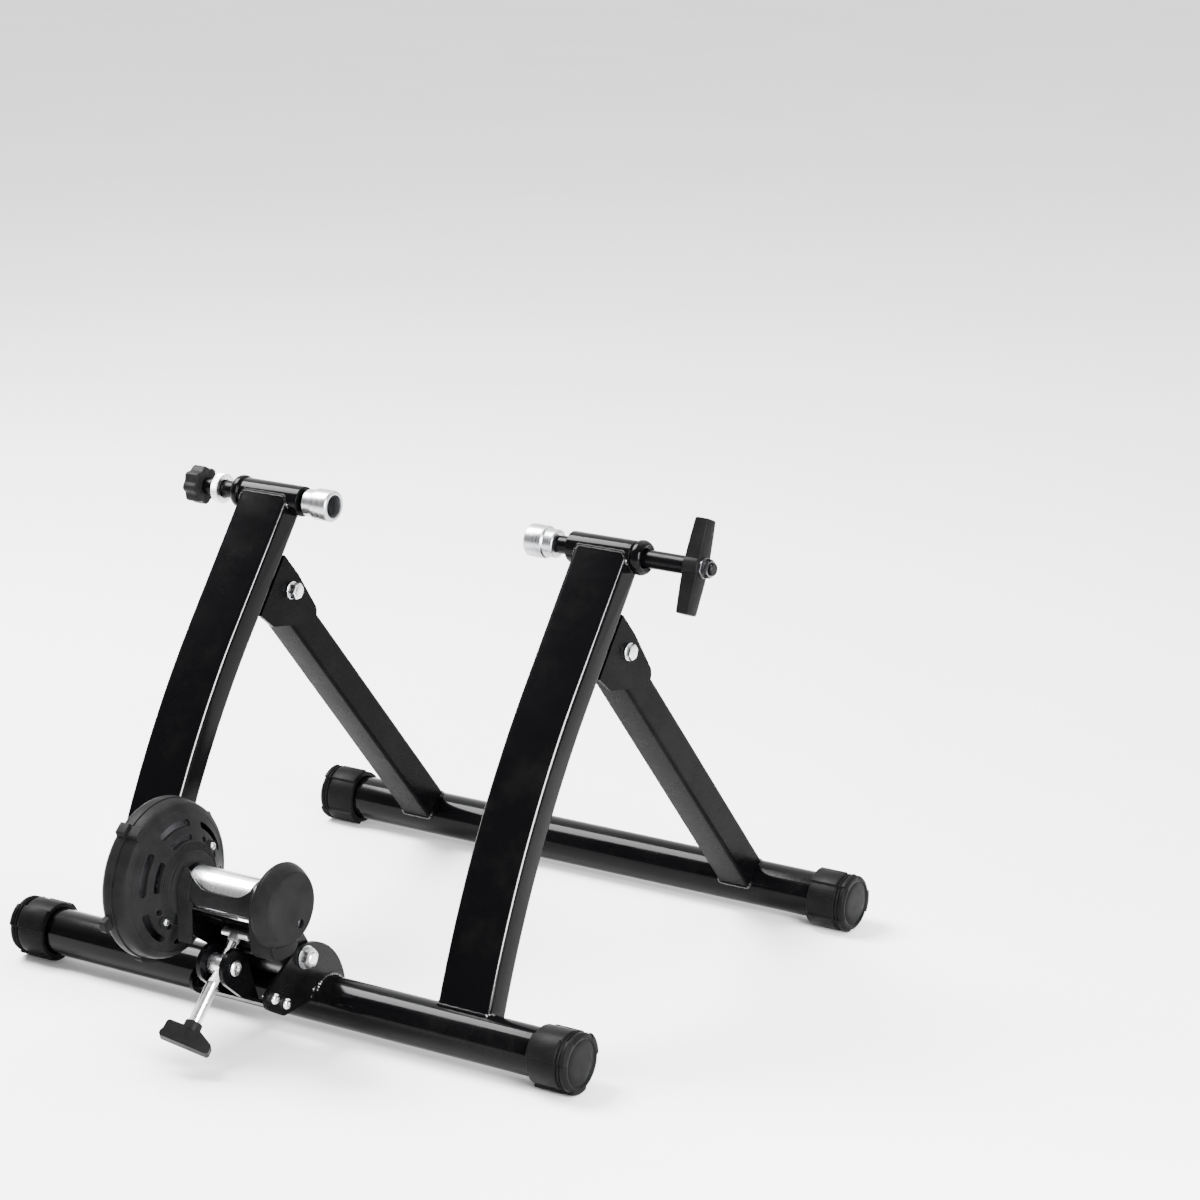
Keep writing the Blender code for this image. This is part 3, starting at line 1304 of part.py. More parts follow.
finish("adjuster_knob", adjuster_knob(), plastic("adjuster_knob_plastic", DARK_PLASTIC, 0.45), tuple(TR))

# Centre the footprint on the origin and set the lowest point on the floor.
bpy.context.view_layer.update()
low = [1e9, 1e9, 1e9]
high = [-1e9, -1e9, -1e9]
for obj in ALL:
    for v in obj.data.vertices:
        p = obj.matrix_world @ v.co
        for i in range(3):
            low[i] = min(low[i], p[i])
            high[i] = max(high[i], p[i])
shift = Vector((-(low[0] + high[0]) / 2, -(low[1] + high[1]) / 2, -low[2]))
for obj in ALL:
    obj.location = obj.location + shift
bpy.context.view_layer.update()
print("shift", tuple(round(v, 6) for v in shift))
print("size", tuple(round(high[i] - low[i], 6) for i in range(3)))
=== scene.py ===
import bpy
import bmesh
import math
from mathutils import Matrix, Vector
from mathutils.geometry import tessellate_polygon


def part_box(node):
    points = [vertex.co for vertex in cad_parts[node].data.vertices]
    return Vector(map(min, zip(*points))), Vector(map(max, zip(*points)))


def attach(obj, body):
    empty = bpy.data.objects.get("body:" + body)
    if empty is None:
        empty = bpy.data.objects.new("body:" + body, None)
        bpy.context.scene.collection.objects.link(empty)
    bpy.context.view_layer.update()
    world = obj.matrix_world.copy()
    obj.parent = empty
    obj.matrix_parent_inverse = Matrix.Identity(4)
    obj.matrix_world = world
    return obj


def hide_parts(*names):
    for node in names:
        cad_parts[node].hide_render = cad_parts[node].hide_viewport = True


# Looks for a folding bicycle training stand with a magnetic roller brake.
# Pieces are built about the rear foot tube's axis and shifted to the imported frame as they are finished.
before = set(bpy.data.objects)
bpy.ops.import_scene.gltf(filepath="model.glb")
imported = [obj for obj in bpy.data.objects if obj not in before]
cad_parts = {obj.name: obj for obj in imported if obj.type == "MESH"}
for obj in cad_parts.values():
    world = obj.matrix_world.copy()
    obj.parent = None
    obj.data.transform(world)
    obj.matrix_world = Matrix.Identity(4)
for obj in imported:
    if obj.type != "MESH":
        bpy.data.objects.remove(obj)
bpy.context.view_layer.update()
_lo, _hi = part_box("rear_foot_tube")
SHIFT = Vector((0.0, (_lo.y + _hi.y) / 2, 0.0))
REAR_Z = (_lo.z + _hi.z) / 2
_lo, _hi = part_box("front_foot_tube")
FRONT_Y = (_lo.y + _hi.y) / 2 - SHIFT.y
FRONT_Z = (_lo.z + _hi.z) / 2
SIDES = ((1, "right"), (-1, "left"))

# Sizes shared with the solids, in metres and degrees
GAP = 0.0003
FOOT_R = 0.019
FOOT_LENGTH = 0.540
FOOT_WALL = 0.0015
CAP_LENGTH = 0.035
CAP_T = 0.0042
UPRIGHT_X = 0.164
UPRIGHT_W = 0.048
UPRIGHT_D = 0.025
UPRIGHT_WALL = 0.0016
UPRIGHT_CORNER = 0.004
TOP_SLOPE = 53.2
FOOT_SLOPE = 70.6
TOP_RUN = 0.121
BEND_R = 0.8065
AXLE_Y = 0.1985
AXLE_Z = 0.356
HINGE_Y = 0.190
HINGE_Z = 0.282
HINGE_BORE = 0.0043
LEG_W = 0.030
LEG_D = 0.028
LEG_WALL = 0.0015
LEG_CORNER = 0.003
PLATE_T = 0.003
BARREL_R = 0.0125
BARREL_IN = 0.131
BARREL_OUT = 0.190
COLLAR_T = 0.0095
SPINDLE_R = 0.0072
RIGHT_CUP = 0.092
LEFT_CUP = 0.101
HANDLE_X = 0.243
HANDLE_T = 0.012
HANDLE_TILT = 22.0
LEFT_END = 0.232
RY = -0.0722
RZ = 0.126
ROLLER_R = 0.0165
ROLLER_HALF = 0.030
SHAFT_R = 0.005
SHAFT_BORE = 0.0053
BEARING_BORE = 0.0133
ARM_IN = 0.031
ARM_T = 0.0025
PIVOT_Y = -0.029
PIVOT_Z = 0.069
PIVOT_R = 0.005
PIVOT_BORE = 0.0053
BASE_IN = 0.034
BASE_T = 0.003
LOBE_A = Vector((-0.068, 0.048))
LOBE_B = Vector((-0.054, 0.0395))
LOBE_BORE = 0.0028
TR = Vector((0.0, -0.0835, 0.0723))
ROD = Vector((0.0, math.cos(math.radians(46.0)), math.sin(math.radians(46.0))))
PUSH = TR + ROD * 0.0265
KNOB = TR - ROD * 0.0605
EAR_IN = 0.0088
EAR_T = 0.004
PUSH_R = 0.0032
ROD_R = 0.0040
ROD_GRIP_R = 0.005
THREAD_PITCH = 0.00125
SEAM = 0.0625
HOUSING_BACK = 0.080
SCREW_ANGLES = (("rear", -37.5), ("front", 142.5))

# Lines along X that pieces are centred on, as (y, z)
REAR_LINE = (0.0, REAR_Z)
FRONT_LINE = (FRONT_Y, FRONT_Z)
AXLE_LINE = (AXLE_Y, AXLE_Z)
HINGE_LINE = (HINGE_Y, HINGE_Z)
ROLLER_LINE = (RY, RZ)
PIVOT_LINE = (PIVOT_Y, PIVOT_Z)


# Material graphs
class Finish:
    def __init__(self, name, colour, rough, metal=0.0, specular=0.5):
        self.mat = bpy.data.materials.new(name)
        self.mat.use_nodes = True
        self.mat.diffuse_color = (*colour, 1.0)
        self.tree = self.mat.node_tree
        self.sockets = self.tree.nodes["Principled BSDF"].inputs
        self.sockets["Base Color"].default_value = (*colour, 1.0)
        self.sockets["Roughness"].default_value = rough
        self.sockets["Metallic"].default_value = metal
        self.sockets["Specular IOR Level"].default_value = specular
        self.normal = None
        self.where = self.node("TexCoord").outputs["Object"]

    def node(self, kind, inputs=None, **settings):
        # A socket among the inputs is linked, and any other value is set.
        made = self.tree.nodes.new("ShaderNode" + kind)
        for key, value in settings.items():
            setattr(made, key, value)
        for key, value in (inputs or {}).items():
            if isinstance(value, bpy.types.NodeSocket):
                self.tree.links.new(value, made.inputs[key])
            else:
                made.inputs[key].default_value = value
        return made

    def stretched(self, scale):
        return self.node("Mapping", {"Vector": self.where, "Scale": scale}).outputs["Vector"]

    def turned_about(self, centre, pitch):
        # Coordinates that vary along an X line and outwards from it, for lathe marks.
        offset = self.node("VectorMath", {0: self.where, 1: centre}, operation="SUBTRACT").outputs[0]
        parts = self.node("SeparateXYZ", {0: offset}).outputs
        flat = self.node("CombineXYZ", {1: parts[1], 2: parts[2]}).outputs[0]
        radius = self.node("VectorMath", {0: flat}, operation="LENGTH").outputs["Value"]
        both = self.node("CombineXYZ", {0: parts[0], 1: radius}).outputs[0]
        return self.node("VectorMath", {0: both, 1: (pitch, pitch, 1.0)}, operation="MULTIPLY").outputs[0]

    def noise(self, scale, detail=3.0, rough=0.5, vector=None):
        where = self.where if vector is None else vector
        inputs = {"Vector": where, "Scale": scale, "Detail": detail, "Roughness": rough}
        return self.node("TexNoise", inputs).outputs["Fac"]

    def remap(self, value, low, high, to_low=0.0, to_high=1.0):
        inputs = {"Value": value, "From Min": low, "From Max": high, "To Min": to_low, "To Max": to_high}
        return self.node("MapRange", inputs).outputs["Result"]

    def paint(self, factor, a, b):
        mix = self.node("Mix", {"Factor": factor, 6: (*a, 1.0), 7: (*b, 1.0)}, data_type="RGBA")
        self.tree.links.new(mix.outputs[2], self.sockets["Base Color"])

    def roughness(self, socket):
        self.tree.links.new(socket, self.sockets["Roughness"])

    def bump(self, height, strength, distance):
        inputs = {"Height": height, "Strength": strength, "Distance": distance}
        if self.normal is not None:
            inputs["Normal"] = self.normal
        self.normal = self.node("Bump", inputs).outputs["Normal"]
        self.tree.links.new(self.normal, self.sockets["Normal"])


def powder_coat(name, rough, peel=1.0, gloss=0.055):
    f = Finish(name, (0.003, 0.003, 0.0033), rough, 0.0, gloss)
    dust = f.remap(f.noise(18.0, 6.0, 0.65), 0.50, 0.80)
    f.paint(dust, (0.0012, 0.0012, 0.0014), (0.0034, 0.0034, 0.0033))
    streaks = f.noise(9.0, 5.0, 0.6, f.stretched((3.0, 1.0, 6.0)))
    f.roughness(f.remap(streaks, 0.3, 0.75, rough * 0.75, rough * 1.45))
    f.bump(f.noise(260.0, 2.0, 0.5), 0.05 * peel, 0.0006)
    f.bump(f.noise(1500.0, 1.0, 0.4), 0.05 * peel, 0.0001)
    return f.mat


def moulded(name, colour, rough, grain=1.0, sheen=1.0):
    f = Finish(name, colour, rough, 0.0, 0.035 * sheen)
    dark, light = (tuple(c * share for c in colour) for share in (0.80, 1.35))
    f.paint(f.remap(f.noise(45.0, 5.0, 0.6), 0.35, 0.70), dark, light)
    f.roughness(f.remap(f.noise(130.0, 4.0, 0.55), 0.3, 0.7, rough * 0.85, rough * 1.20))
    f.bump(f.noise(2300.0, 2.0, 0.6), 0.22 * grain, 0.00012)
    f.bump(f.noise(320.0, 2.0, 0.5), 0.05 * grain, 0.0005)
    return f.mat


def plated(name, colour, tint, rough, brushed=1.0):
    f = Finish(name, colour, rough, 1.0)
    f.paint(f.remap(f.noise(160.0, 5.0, 0.6), 0.35, 0.70), colour, tint)
    f.roughness(f.remap(f.noise(420.0, 4.0, 0.6), 0.3, 0.7, rough * 0.7, rough * 1.45))
    f.bump(f.noise(900.0, 3.0, 0.6), 0.10 * brushed, 0.0001)
    return f.mat


def lathe(name, colour, tint, rough, line, marks=1.0, metal=1.0, pitch=2600.0):
    f = Finish(name, colour, rough, metal)
    lines = f.noise(1.0, 2.0, 0.6, f.turned_about((0.0, line[0] + SHIFT.y, line[1]), pitch))
    f.paint(f.remap(f.noise(60.0, 5.0, 0.6), 0.35, 0.70), colour, tint)
    f.roughness(f.remap(lines, 0.3, 0.7, rough * 0.6, rough * 1.6))
    f.bump(lines, 0.12 * marks, 0.0001)
    return f.mat


GLOSS = powder_coat("gloss_black_paint", 0.12)
SATIN = powder_coat("satin_black_paint", 0.24, 1.6)
UPRIGHT_COAT = powder_coat("upright_black_paint", 0.14, 1.0, 0.034)
CORNER_COAT = powder_coat("corner_black_paint", 0.12, 0.6, 0.55)
LEG_COAT = powder_coat("leg_black_paint", 0.26, 1.2, 0.014)
WELD = powder_coat("painted_weld_bead", 0.16, 2.5, 0.40)
HOUSING = moulded("housing_plastic", (0.0064, 0.0064, 0.0066), 0.38, 1.0, 0.42)
CAP = moulded("cap_plastic", (0.0036, 0.0036, 0.0037), 0.40, 0.8, 0.7)
KNOB_MAT = moulded("knob_plastic", (0.0062, 0.0062, 0.0064), 0.40, 1.2)
HANDLE = moulded("handle_plastic", (0.0046, 0.0046, 0.0047), 0.24, 0.5, 0.45)
ZINC = plated("zinc_plate", (0.62, 0.62, 0.61), (0.54, 0.55, 0.57), 0.28)
DARK_ZINC = plated("dark_zinc_plate", (0.12, 0.12, 0.12), (0.08, 0.08, 0.09), 0.26)
CHROME = plated("bright_plate", (0.90, 0.90, 0.90), (0.84, 0.85, 0.87), 0.20, 0.4)
SATIN_ZINC = plated("satin_zinc_plate", (0.72, 0.72, 0.71), (0.64, 0.65, 0.67), 0.38, 0.4)
NUT_ZINC = plated("worn_zinc_plate", (0.40, 0.40, 0.40), (0.30, 0.31, 0.32), 0.30, 0.6)
ROLLER_STEEL = lathe("roller_chrome", (0.93, 0.93, 0.93), (0.87, 0.88, 0.90), 0.20, ROLLER_LINE, 0.5)
CUP_STEEL = lathe("turned_steel", (0.42, 0.42, 0.43), (0.34, 0.35, 0.37), 0.26, AXLE_LINE)
BEARING_STEEL = lathe("ground_steel", (0.66, 0.66, 0.67), (0.58, 0.59, 0.61), 0.20, ROLLER_LINE, 0.6)
# The disc's colour is far darker than bare aluminium: painted shade for the disc lying in shadow inside the housing.
SHADED_DISC_ALLOY = lathe("disc_aluminium", (0.20, 0.20, 0.21), (0.15, 0.15, 0.16), 0.45, ROLLER_LINE)
IRON = lathe("turned_iron", (0.17, 0.17, 0.18), (0.12, 0.12, 0.125), 0.42, ROLLER_LINE, 1.5, 0.9, 1800.0)
FERRITE = moulded("magnet_ferrite", (0.045, 0.045, 0.048), 0.60, 2.0)
SEAL = moulded("bearing_seal_rubber", (0.016, 0.016, 0.016), 0.55)


# Outlines
def arc(cy, cz, r, start, end, n):
    angles = [math.radians(start + (end - start) * k / n) for k in range(n + 1)]
    return [(cy + r * math.cos(a), cz + r * math.sin(a)) for a in angles]


def fillet(profile, radius, steps=4):
    # Rounds the corners of a closed outline; radius is one number or one for each corner.
    # With one number, corners on the turning axis stay sharp.
    out = []
    listed = isinstance(radius, (list, tuple))
    for i, corner in enumerate(profile):
        r = radius[i] if listed else radius
        p = Vector(corner)
        a = Vector(profile[i - 1]) - p
        b = Vector(profile[(i + 1) % len(profile)]) - p
        if r <= 0.0 or (p.x < 1e-7 and not listed):
            out.append(tuple(p))
            continue
        reach = min(r, a.length * 0.45, b.length * 0.45)
        p0 = p + a.normalized() * reach
        p2 = p + b.normalized() * reach
        for k in range(steps + 1):
            t = k / steps
            q = p0 * ((1 - t) ** 2) + p * (2 * t * (1 - t)) + p2 * (t * t)
            out.append((q.x, q.y))
    return out


def rounded(rows, steps):
    # Rounds an outline given in rows of (radius, position, rounding).
    return fillet([row[:2] for row in rows], [row[2] for row in rows], steps)


def rounded_rect(width, depth, corner, steps=6):
    points = []
    for sx, sy, start in ((1, 1, 0.0), (-1, 1, 90.0), (-1, -1, 180.0), (1, -1, 270.0)):
        points += arc(sx * (width / 2 - corner), sy * (depth / 2 - corner), corner, start, start + 90.0, steps)
    return points


def hull(points):
    pts = sorted(set((round(p[0], 7), round(p[1], 7)) for p in points))

    def half(seq):
        out = []
        for p in seq:
            while len(out) > 1:
                ax, ay = out[-2]
                bx, by = out[-1]
                if (bx - ax) * (p[1] - ay) - (by - ay) * (p[0] - ax) > 1e-12:
                    break
                out.pop()
            out.append(p)
        return out[:-1]
    return half(pts) + half(pts[::-1])


# Solids
def closed(bm):
    bmesh.ops.recalc_face_normals(bm, faces=bm.faces)
    return bm


def skin(bm, rings, loop=False):
    # Quads between neighbouring rings, and from the last back to the first for a loop.
    for a, b in zip(rings, rings[1:] + rings[:1] if loop else rings[1:]):
        for k in range(len(a)):
            m = (k + 1) % len(a)
            bm.faces.new((a[k], a[m], b[m], b[k]))


def turned(profile, axis, centre, segs=96, radius_of=None):
    # A closed (radius, position) outline spun about a line through centre along axis.
    bm = bmesh.new()
    direction = Vector(axis).normalized()
    side = direction.orthogonal().normalized()
    other = direction.cross(side)
    rings = []
    for radius, along in profile:
        middle = Vector(centre) + direction * along
        if radius < 1e-7:
            rings.append([bm.verts.new(middle)] * segs)
            continue
        loop = []
        for k in range(segs):
            a = 2.0 * math.pi * k / segs
            r = radius if radius_of is None else radius_of(radius, a)
            loop.append(bm.verts.new(middle + side * (r * math.cos(a)) + other * (r * math.sin(a))))
        rings.append(loop)
    for lower, upper in zip(rings, rings[1:] + rings[:1]):
        for k in range(segs):
            n = (k + 1) % segs
            corners = list(dict.fromkeys((lower[k], lower[n], upper[n], upper[k])))
            if len(corners) >= 3:
                bm.faces.new(corners)
    return closed(bm)


def spun(profile, x, line, segs=96, radius_of=None):
    return turned(profile, (1, 0, 0), (x, *line), segs, radius_of)


def cylinder(radius, start, end, segs=64, edge=0.0):
    a = Vector(start)
    b = Vector(end)
    length = (b - a).length
    profile = [(0.0, 0.0), (radius, 0.0), (radius, length), (0.0, length)]
    if edge > 0.0:
        profile = fillet(profile, [0.0, edge, edge, 0.0], 4)
    return turned(profile, b - a, a, segs)


def pin(radius, x0, x1, line, segs=64, edge=0.0):
    return cylinder(radius, (x0, *line), (x1, *line), segs, edge)


def ring(outer, inner, x0, x1, line, segs=96, edge=0.0):
    profile = [(inner, 0.0), (outer, 0.0), (outer, x1 - x0), (inner, x1 - x0)]
    return spun(fillet(profile, edge, 3) if edge > 0.0 else profile, x0, line, segs)


def slab(outline, start, end, holes=(), place=None):
    # An outline with round holes, extruded along the third axis of place; with none, along X.
    if place is None:
        place = Matrix(((0, 0, 1, 0), (1, 0, 0, 0), (0, 1, 0, 0), (0, 0, 0, 1)))
    loops = [list(outline)] + [arc(cy, cz, r, 0.0, -352.5, 47) for cy, cz, r in holes]
    bm = bmesh.new()
    low = []
    high = []
    for loop in loops:
        for p in loop:
            low.append(bm.verts.new(place @ Vector((*p, start))))
            high.append(bm.verts.new(place @ Vector((*p, end))))
    if holes:
        for tri in tessellate_polygon([[Vector((*p, 0.0)) for p in loop] for loop in loops]):
            bm.faces.new([low[i] for i in tri])
            bm.faces.new([high[i] for i in reversed(tri)])
    else:
        bm.faces.new(low)
        bm.faces.new(high)
    first = 0
    for loop in loops:
        last = first + len(loop)
        skin(bm, [low[first:last], high[first:last]])
        first = last
    return closed(bm)


def block(x0, x1, y0, y1, z0, z1):
    return slab([(y0, z0), (y1, z0), (y1, z1), (y0, z1)], x0, x1)


def swept(path, x, width, depth, wall, corner):
    # A rectangular tube along a path of (y, z, slope).
    bm = bmesh.new()
    outer = rounded_rect(width, depth, corner)
    inner = rounded_rect(width - 2 * wall, depth - 2 * wall, max(corner - wall, 0.0006))
    shells = []
    for section in (outer, inner):
        rings = []
        for y, z, slope in path:
            normal = Vector((0.0, math.sin(slope), -math.cos(slope)))
            rings.append([bm.verts.new(Vector((x + u, y, z)) + normal * v) for u, v in section])
        shells.append(rings)
        skin(bm, rings)
    for end in (0, -1):
        skin(bm, [shells[0][end], shells[1][end]])
    return closed(bm)


def merge(*parts):
    out = parts[0]
    for other in parts[1:]:
        mesh = bpy.data.meshes.new("part")
        other.to_mesh(mesh)
        other.free()
        out.from_mesh(mesh)
        bpy.data.meshes.remove(mesh)
    return out


def work_object(bm):
    mesh = bpy.data.meshes.new("work")
    bm.to_mesh(mesh)
    bm.free()
    obj = bpy.data.objects.new("work", mesh)
    bpy.context.scene.collection.objects.link(obj)
    return obj


def combine(bm, others, operation):
    body = work_object(bm)
    for other in others:
        tool = work_object(other)
        mod = body.modifiers.new("cut", "BOOLEAN")
        mod.operation = operation
        mod.solver = "EXACT"
        mod.object = tool
        bpy.context.view_layer.update()
        result = bpy.data.meshes.new_from_object(body.evaluated_get(bpy.context.evaluated_depsgraph_get()))
        body.modifiers.remove(mod)
        previous, tool_mesh = body.data, tool.data
        body.data = result
        bpy.data.objects.remove(tool, do_unlink=True)
        bpy.data.meshes.remove(previous)
        bpy.data.meshes.remove(tool_mesh)
    out = bmesh.new()
    out.from_mesh(body.data)
    last = body.data
    bpy.data.objects.remove(body, do_unlink=True)
    bpy.data.meshes.remove(last)
    bmesh.ops.remove_doubles(out, verts=out.verts, dist=1e-6)
    bmesh.ops.dissolve_degenerate(out, edges=out.edges, dist=1e-6)
    return out


def cut(bm, *tools):
    return combine(bm, tools, "DIFFERENCE")


def join(bm, *others):
    return combine(bm, others, "UNION")


def mirrored(bm):
    bmesh.ops.scale(bm, verts=bm.verts, vec=(-1.0, 1.0, 1.0))
    bmesh.ops.reverse_faces(bm, faces=bm.faces)
    return bm


def piece(name, bm, mat, body, nodes=(), edge=0.0, sharp=32.0):
    bmesh.ops.translate(bm, verts=bm.verts, vec=SHIFT)
    mesh = bpy.data.meshes.new(name)
    bm.to_mesh(mesh)
    bm.free()
    mesh.materials.append(mat)
    mesh.shade_smooth()
    obj = bpy.data.objects.new(name, mesh)
    bpy.context.scene.collection.objects.link(obj)
    if edge > 0.0:
        mod = obj.modifiers.new("edge", "BEVEL")
        mod.width = edge
        mod.segments = 3
        mod.limit_method = "ANGLE"
        mod.angle_limit = math.radians(sharp)
        mod.use_clamp_overlap = True
        normals = obj.modifiers.new("normals", "WEIGHTED_NORMAL")
        normals.keep_sharp = False
        normals.weight = 80
    else:
        mesh.set_sharp_from_angle(angle=math.radians(sharp))
    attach(obj, body)
    if nodes:
        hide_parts(*nodes)
    return obj


def pair(name, make, mat, body, node=None, edge=0.0, sharp=32.0):
    # The piece on the right and its mirror image on the left.
    for side, tag in SIDES:
        bm = make() if side > 0 else mirrored(make())
        nodes = [node.format(tag)] if node else ()
        piece(name.format(tag), bm, mat, body, nodes, edge, sharp)


def bead(path, radius, ripple=0.22, pitch=0.0021, loop=True):
    # A weld bead: a thin rippled tube laid along a path of points.
    dense = []
    count = len(path)
    for i in range(count if loop else count - 1):
        a = Vector(path[i])
        b = Vector(path[(i + 1) % count])
        steps = max(1, int((b - a).length / (pitch / 4.0)))
        dense += [a.lerp(b, k / steps) for k in range(steps)]
    bm = bmesh.new()
    rings = []
    total = len(dense)
    travelled = 0.0
    for i, here in enumerate(dense):
        ahead = dense[(i + 1) % total] if loop or i + 1 < total else here
        behind = dense[i - 1] if loop or i > 0 else here
        tangent = (ahead - behind).normalized()
        side = tangent.cross(Vector((0.3, 0.2, 1.0))).normalized()
        other = tangent.cross(side)
        wave = 1.0 - ripple * abs(math.sin(math.pi * travelled / pitch)) + 0.10 * math.sin(travelled * 610.0)
        section = arc(0.0, 0.0, radius * wave, 0.0, 315.0, 7)
        rings.append([bm.verts.new(here + side * u + other * v) for u, v in section])
        travelled += (ahead - here).length
    skin(bm, rings, loop)
    return closed(bm)


def hex_head(flats, x, height, line, turn=0.0, bore=0.0, dome=0.0006):
    # A hexagon with its corners turned off at the outer end, facing +X.
    r = flats / math.sqrt(3.0)
    trim = spun([(0.0, -0.001), (r * 1.1, -0.001), (r * 1.1, height - r * 0.10), (flats * 0.49, height),
                 (0.0, height + dome * 0.2)], x, line, 48)
    bm = combine(slab(arc(*line, r, turn, turn + 300.0, 5), x, x + height), [trim], "INTERSECT")
    return cut(bm, pin(bore, x - 0.002, x + height + 0.002, line, 32)) if bore > 0.0 else bm


def washer(outer, inner, x, t, line):
    return ring(outer, inner, x, x + t, line, 64, 0.0002)


def stud(radius, x0, x1, line, depth=0.0004):
    # A threaded end facing +X.
    profile = [(0.0, 0.0)]
    for k in range(max(1, int((x1 - x0) / THREAD_PITCH))):
        profile += [(radius - depth, (k + 0.08) * THREAD_PITCH), (radius, (k + 0.5) * THREAD_PITCH)]
    end = x1 - x0
    profile += [(radius - depth, end - 0.0003), (radius - depth * 2.0, end), (0.0, end)]
    return spun(profile, x0, line, 32)


# Feet and their caps
CAP_PAD_R = 0.02498
CAP_BODY_R = 0.0228
# Position along the cap, with what the pads and the body between them are above or below their radius
CAP_STATIONS = ((0.0, -0.0016, -0.0012), (0.0004, -0.0006, -0.0004), (0.0013, 0.0, 0.0), (0.0240, 0.0, 0.0),
                (0.0252, -0.0001, 0.0), (0.0257, -0.0005, -0.0004), (0.0261, -0.0014, -0.0012),
                (0.0270, -0.0015, -0.0013), (0.0274, -0.0007, -0.0003), (0.0280, -0.0004, 0.0003),
                (0.0287, -0.0007, -0.0001), (0.0291, -0.0013, -0.0010), (0.0298, -0.0013, -0.0010),
                (0.0302, -0.0005, -0.0002), (0.0309, -0.0002, 0.0002), (0.0326, -0.0002, 0.0002),
                (0.0338, -0.0006, -0.0004), (0.0346, -0.0015, -0.0014), (0.0350, -0.0028, -0.0028))
CAP_FACE = ((0.0350, 0.0192), (0.0348, 0.0187), (0.0342, 0.0183), (0.0341, 0.0176), (0.0345, 0.0170),
            (0.0347, 0.0120), (0.0348, 0.0060))
CAP_BORE = ((0.0308, 0.0), (0.0004, 0.0), (0.0, 0.0004))


def pad_share(angle, clock):
    # 0 on the three pads and 1 on the body between them.
    d = (angle - clock) % 120.0
    t = min(max((min(d, 120.0 - d) - 22.6) / 1.6, 0.0), 1.0)
    return t * t * (3.0 - 2.0 * t)


def foot_cap(side, line, clock):
    y, z = line
    bm = bmesh.new()

    def circle(along, radius_of):
        verts = []
        for angle in range(0, 360, 2):
            r = radius_of(angle)
            a = math.radians(angle)
            x = side * (FOOT_LENGTH / 2 - CAP_LENGTH + along)
            verts.append(bm.verts.new((x, y - r * math.cos(a), z + r * math.sin(a))))
        return verts

    rings = [circle(along, lambda angle: FOOT_R + GAP + more) for along, more in CAP_BORE]
    for along, pad, body in CAP_STATIONS:
        high = CAP_PAD_R + pad
        low = CAP_BODY_R + body
        rings.append(circle(along, lambda angle: high + (low - high) * pad_share(angle, clock)))
    rings += [circle(along, lambda angle: r) for along, r in CAP_FACE]
    skin(bm, rings)
    for end in (rings[0], rings[-1]):
        centre = bm.verts.new((end[0].co.x, y, z))
        for k, vert in enumerate(end):
            bm.faces.new((vert, end[(k + 1) % len(end)], centre))
    return closed(bm)


half_foot = FOOT_LENGTH / 2 - CAP_T - GAP
for label, line, clock in (("rear", REAR_LINE, 36.0), ("front", FRONT_LINE, 72.0)):
    body = label + "_frame"
    tube = ring(FOOT_R, FOOT_R - FOOT_WALL, -half_foot, half_foot, line, 128, 0.0003)
    piece(label + "_foot", tube, GLOSS, body, [label + "_foot_tube"])
    for side, tag in SIDES:
        piece("%s_end_cap_%s" % (label, tag), foot_cap(side, line, clock), CAP, body,
              ["%s_cap_%s" % (label, tag)], 0.0, 40.0)

# Uprights with their bend
s1 = math.radians(TOP_SLOPE)
s0 = math.radians(FOOT_SLOPE)
bend_y = AXLE_Y - TOP_RUN * math.cos(s1) + BEND_R * math.sin(s1)
bend_z = AXLE_Z - TOP_RUN * math.sin(s1) - BEND_R * math.cos(s1)


def bend_point(s):
    return (bend_y - BEND_R * math.sin(s), bend_z + BEND_R * math.cos(s), s)


bend_foot = bend_point(s0)
foot_y = bend_foot[0] - (bend_foot[1] - REAR_Z) / math.sin(s0) * math.cos(s0)
PATH = [(foot_y, REAR_Z, s0)] + [bend_point(s0 + (s1 - s0) * i / 32) for i in range(33)] + [(AXLE_Y, AXLE_Z, s1)]
DOWN = Vector((-math.cos(s1), -math.sin(s1)))
OUT = Vector((math.sin(s1), -math.cos(s1)))
AXLE = Vector(AXLE_LINE)
HINGE = Vector(HINGE_LINE)


def joint_line(x, width, depth, corner, centre, slope, up, radius, middle):
    # Where a tube's outside meets a round tube across it. up is 1 for the top side of the round tube.
    d = Vector((math.cos(slope), math.sin(slope)))
    n = Vector((math.sin(slope), -math.cos(slope)))
    points = []
    for u, v in rounded_rect(width, depth, corner, 5):
        o = Vector(centre) + n * v - Vector(middle)
        b = o.dot(d)
        reach = math.sqrt(max(b * b - (o.dot(o) - radius * radius), 0.0))
        p = Vector(centre) + n * v + d * (-b + up * reach)
        points.append((x + u, p.x, p.y))
    return points


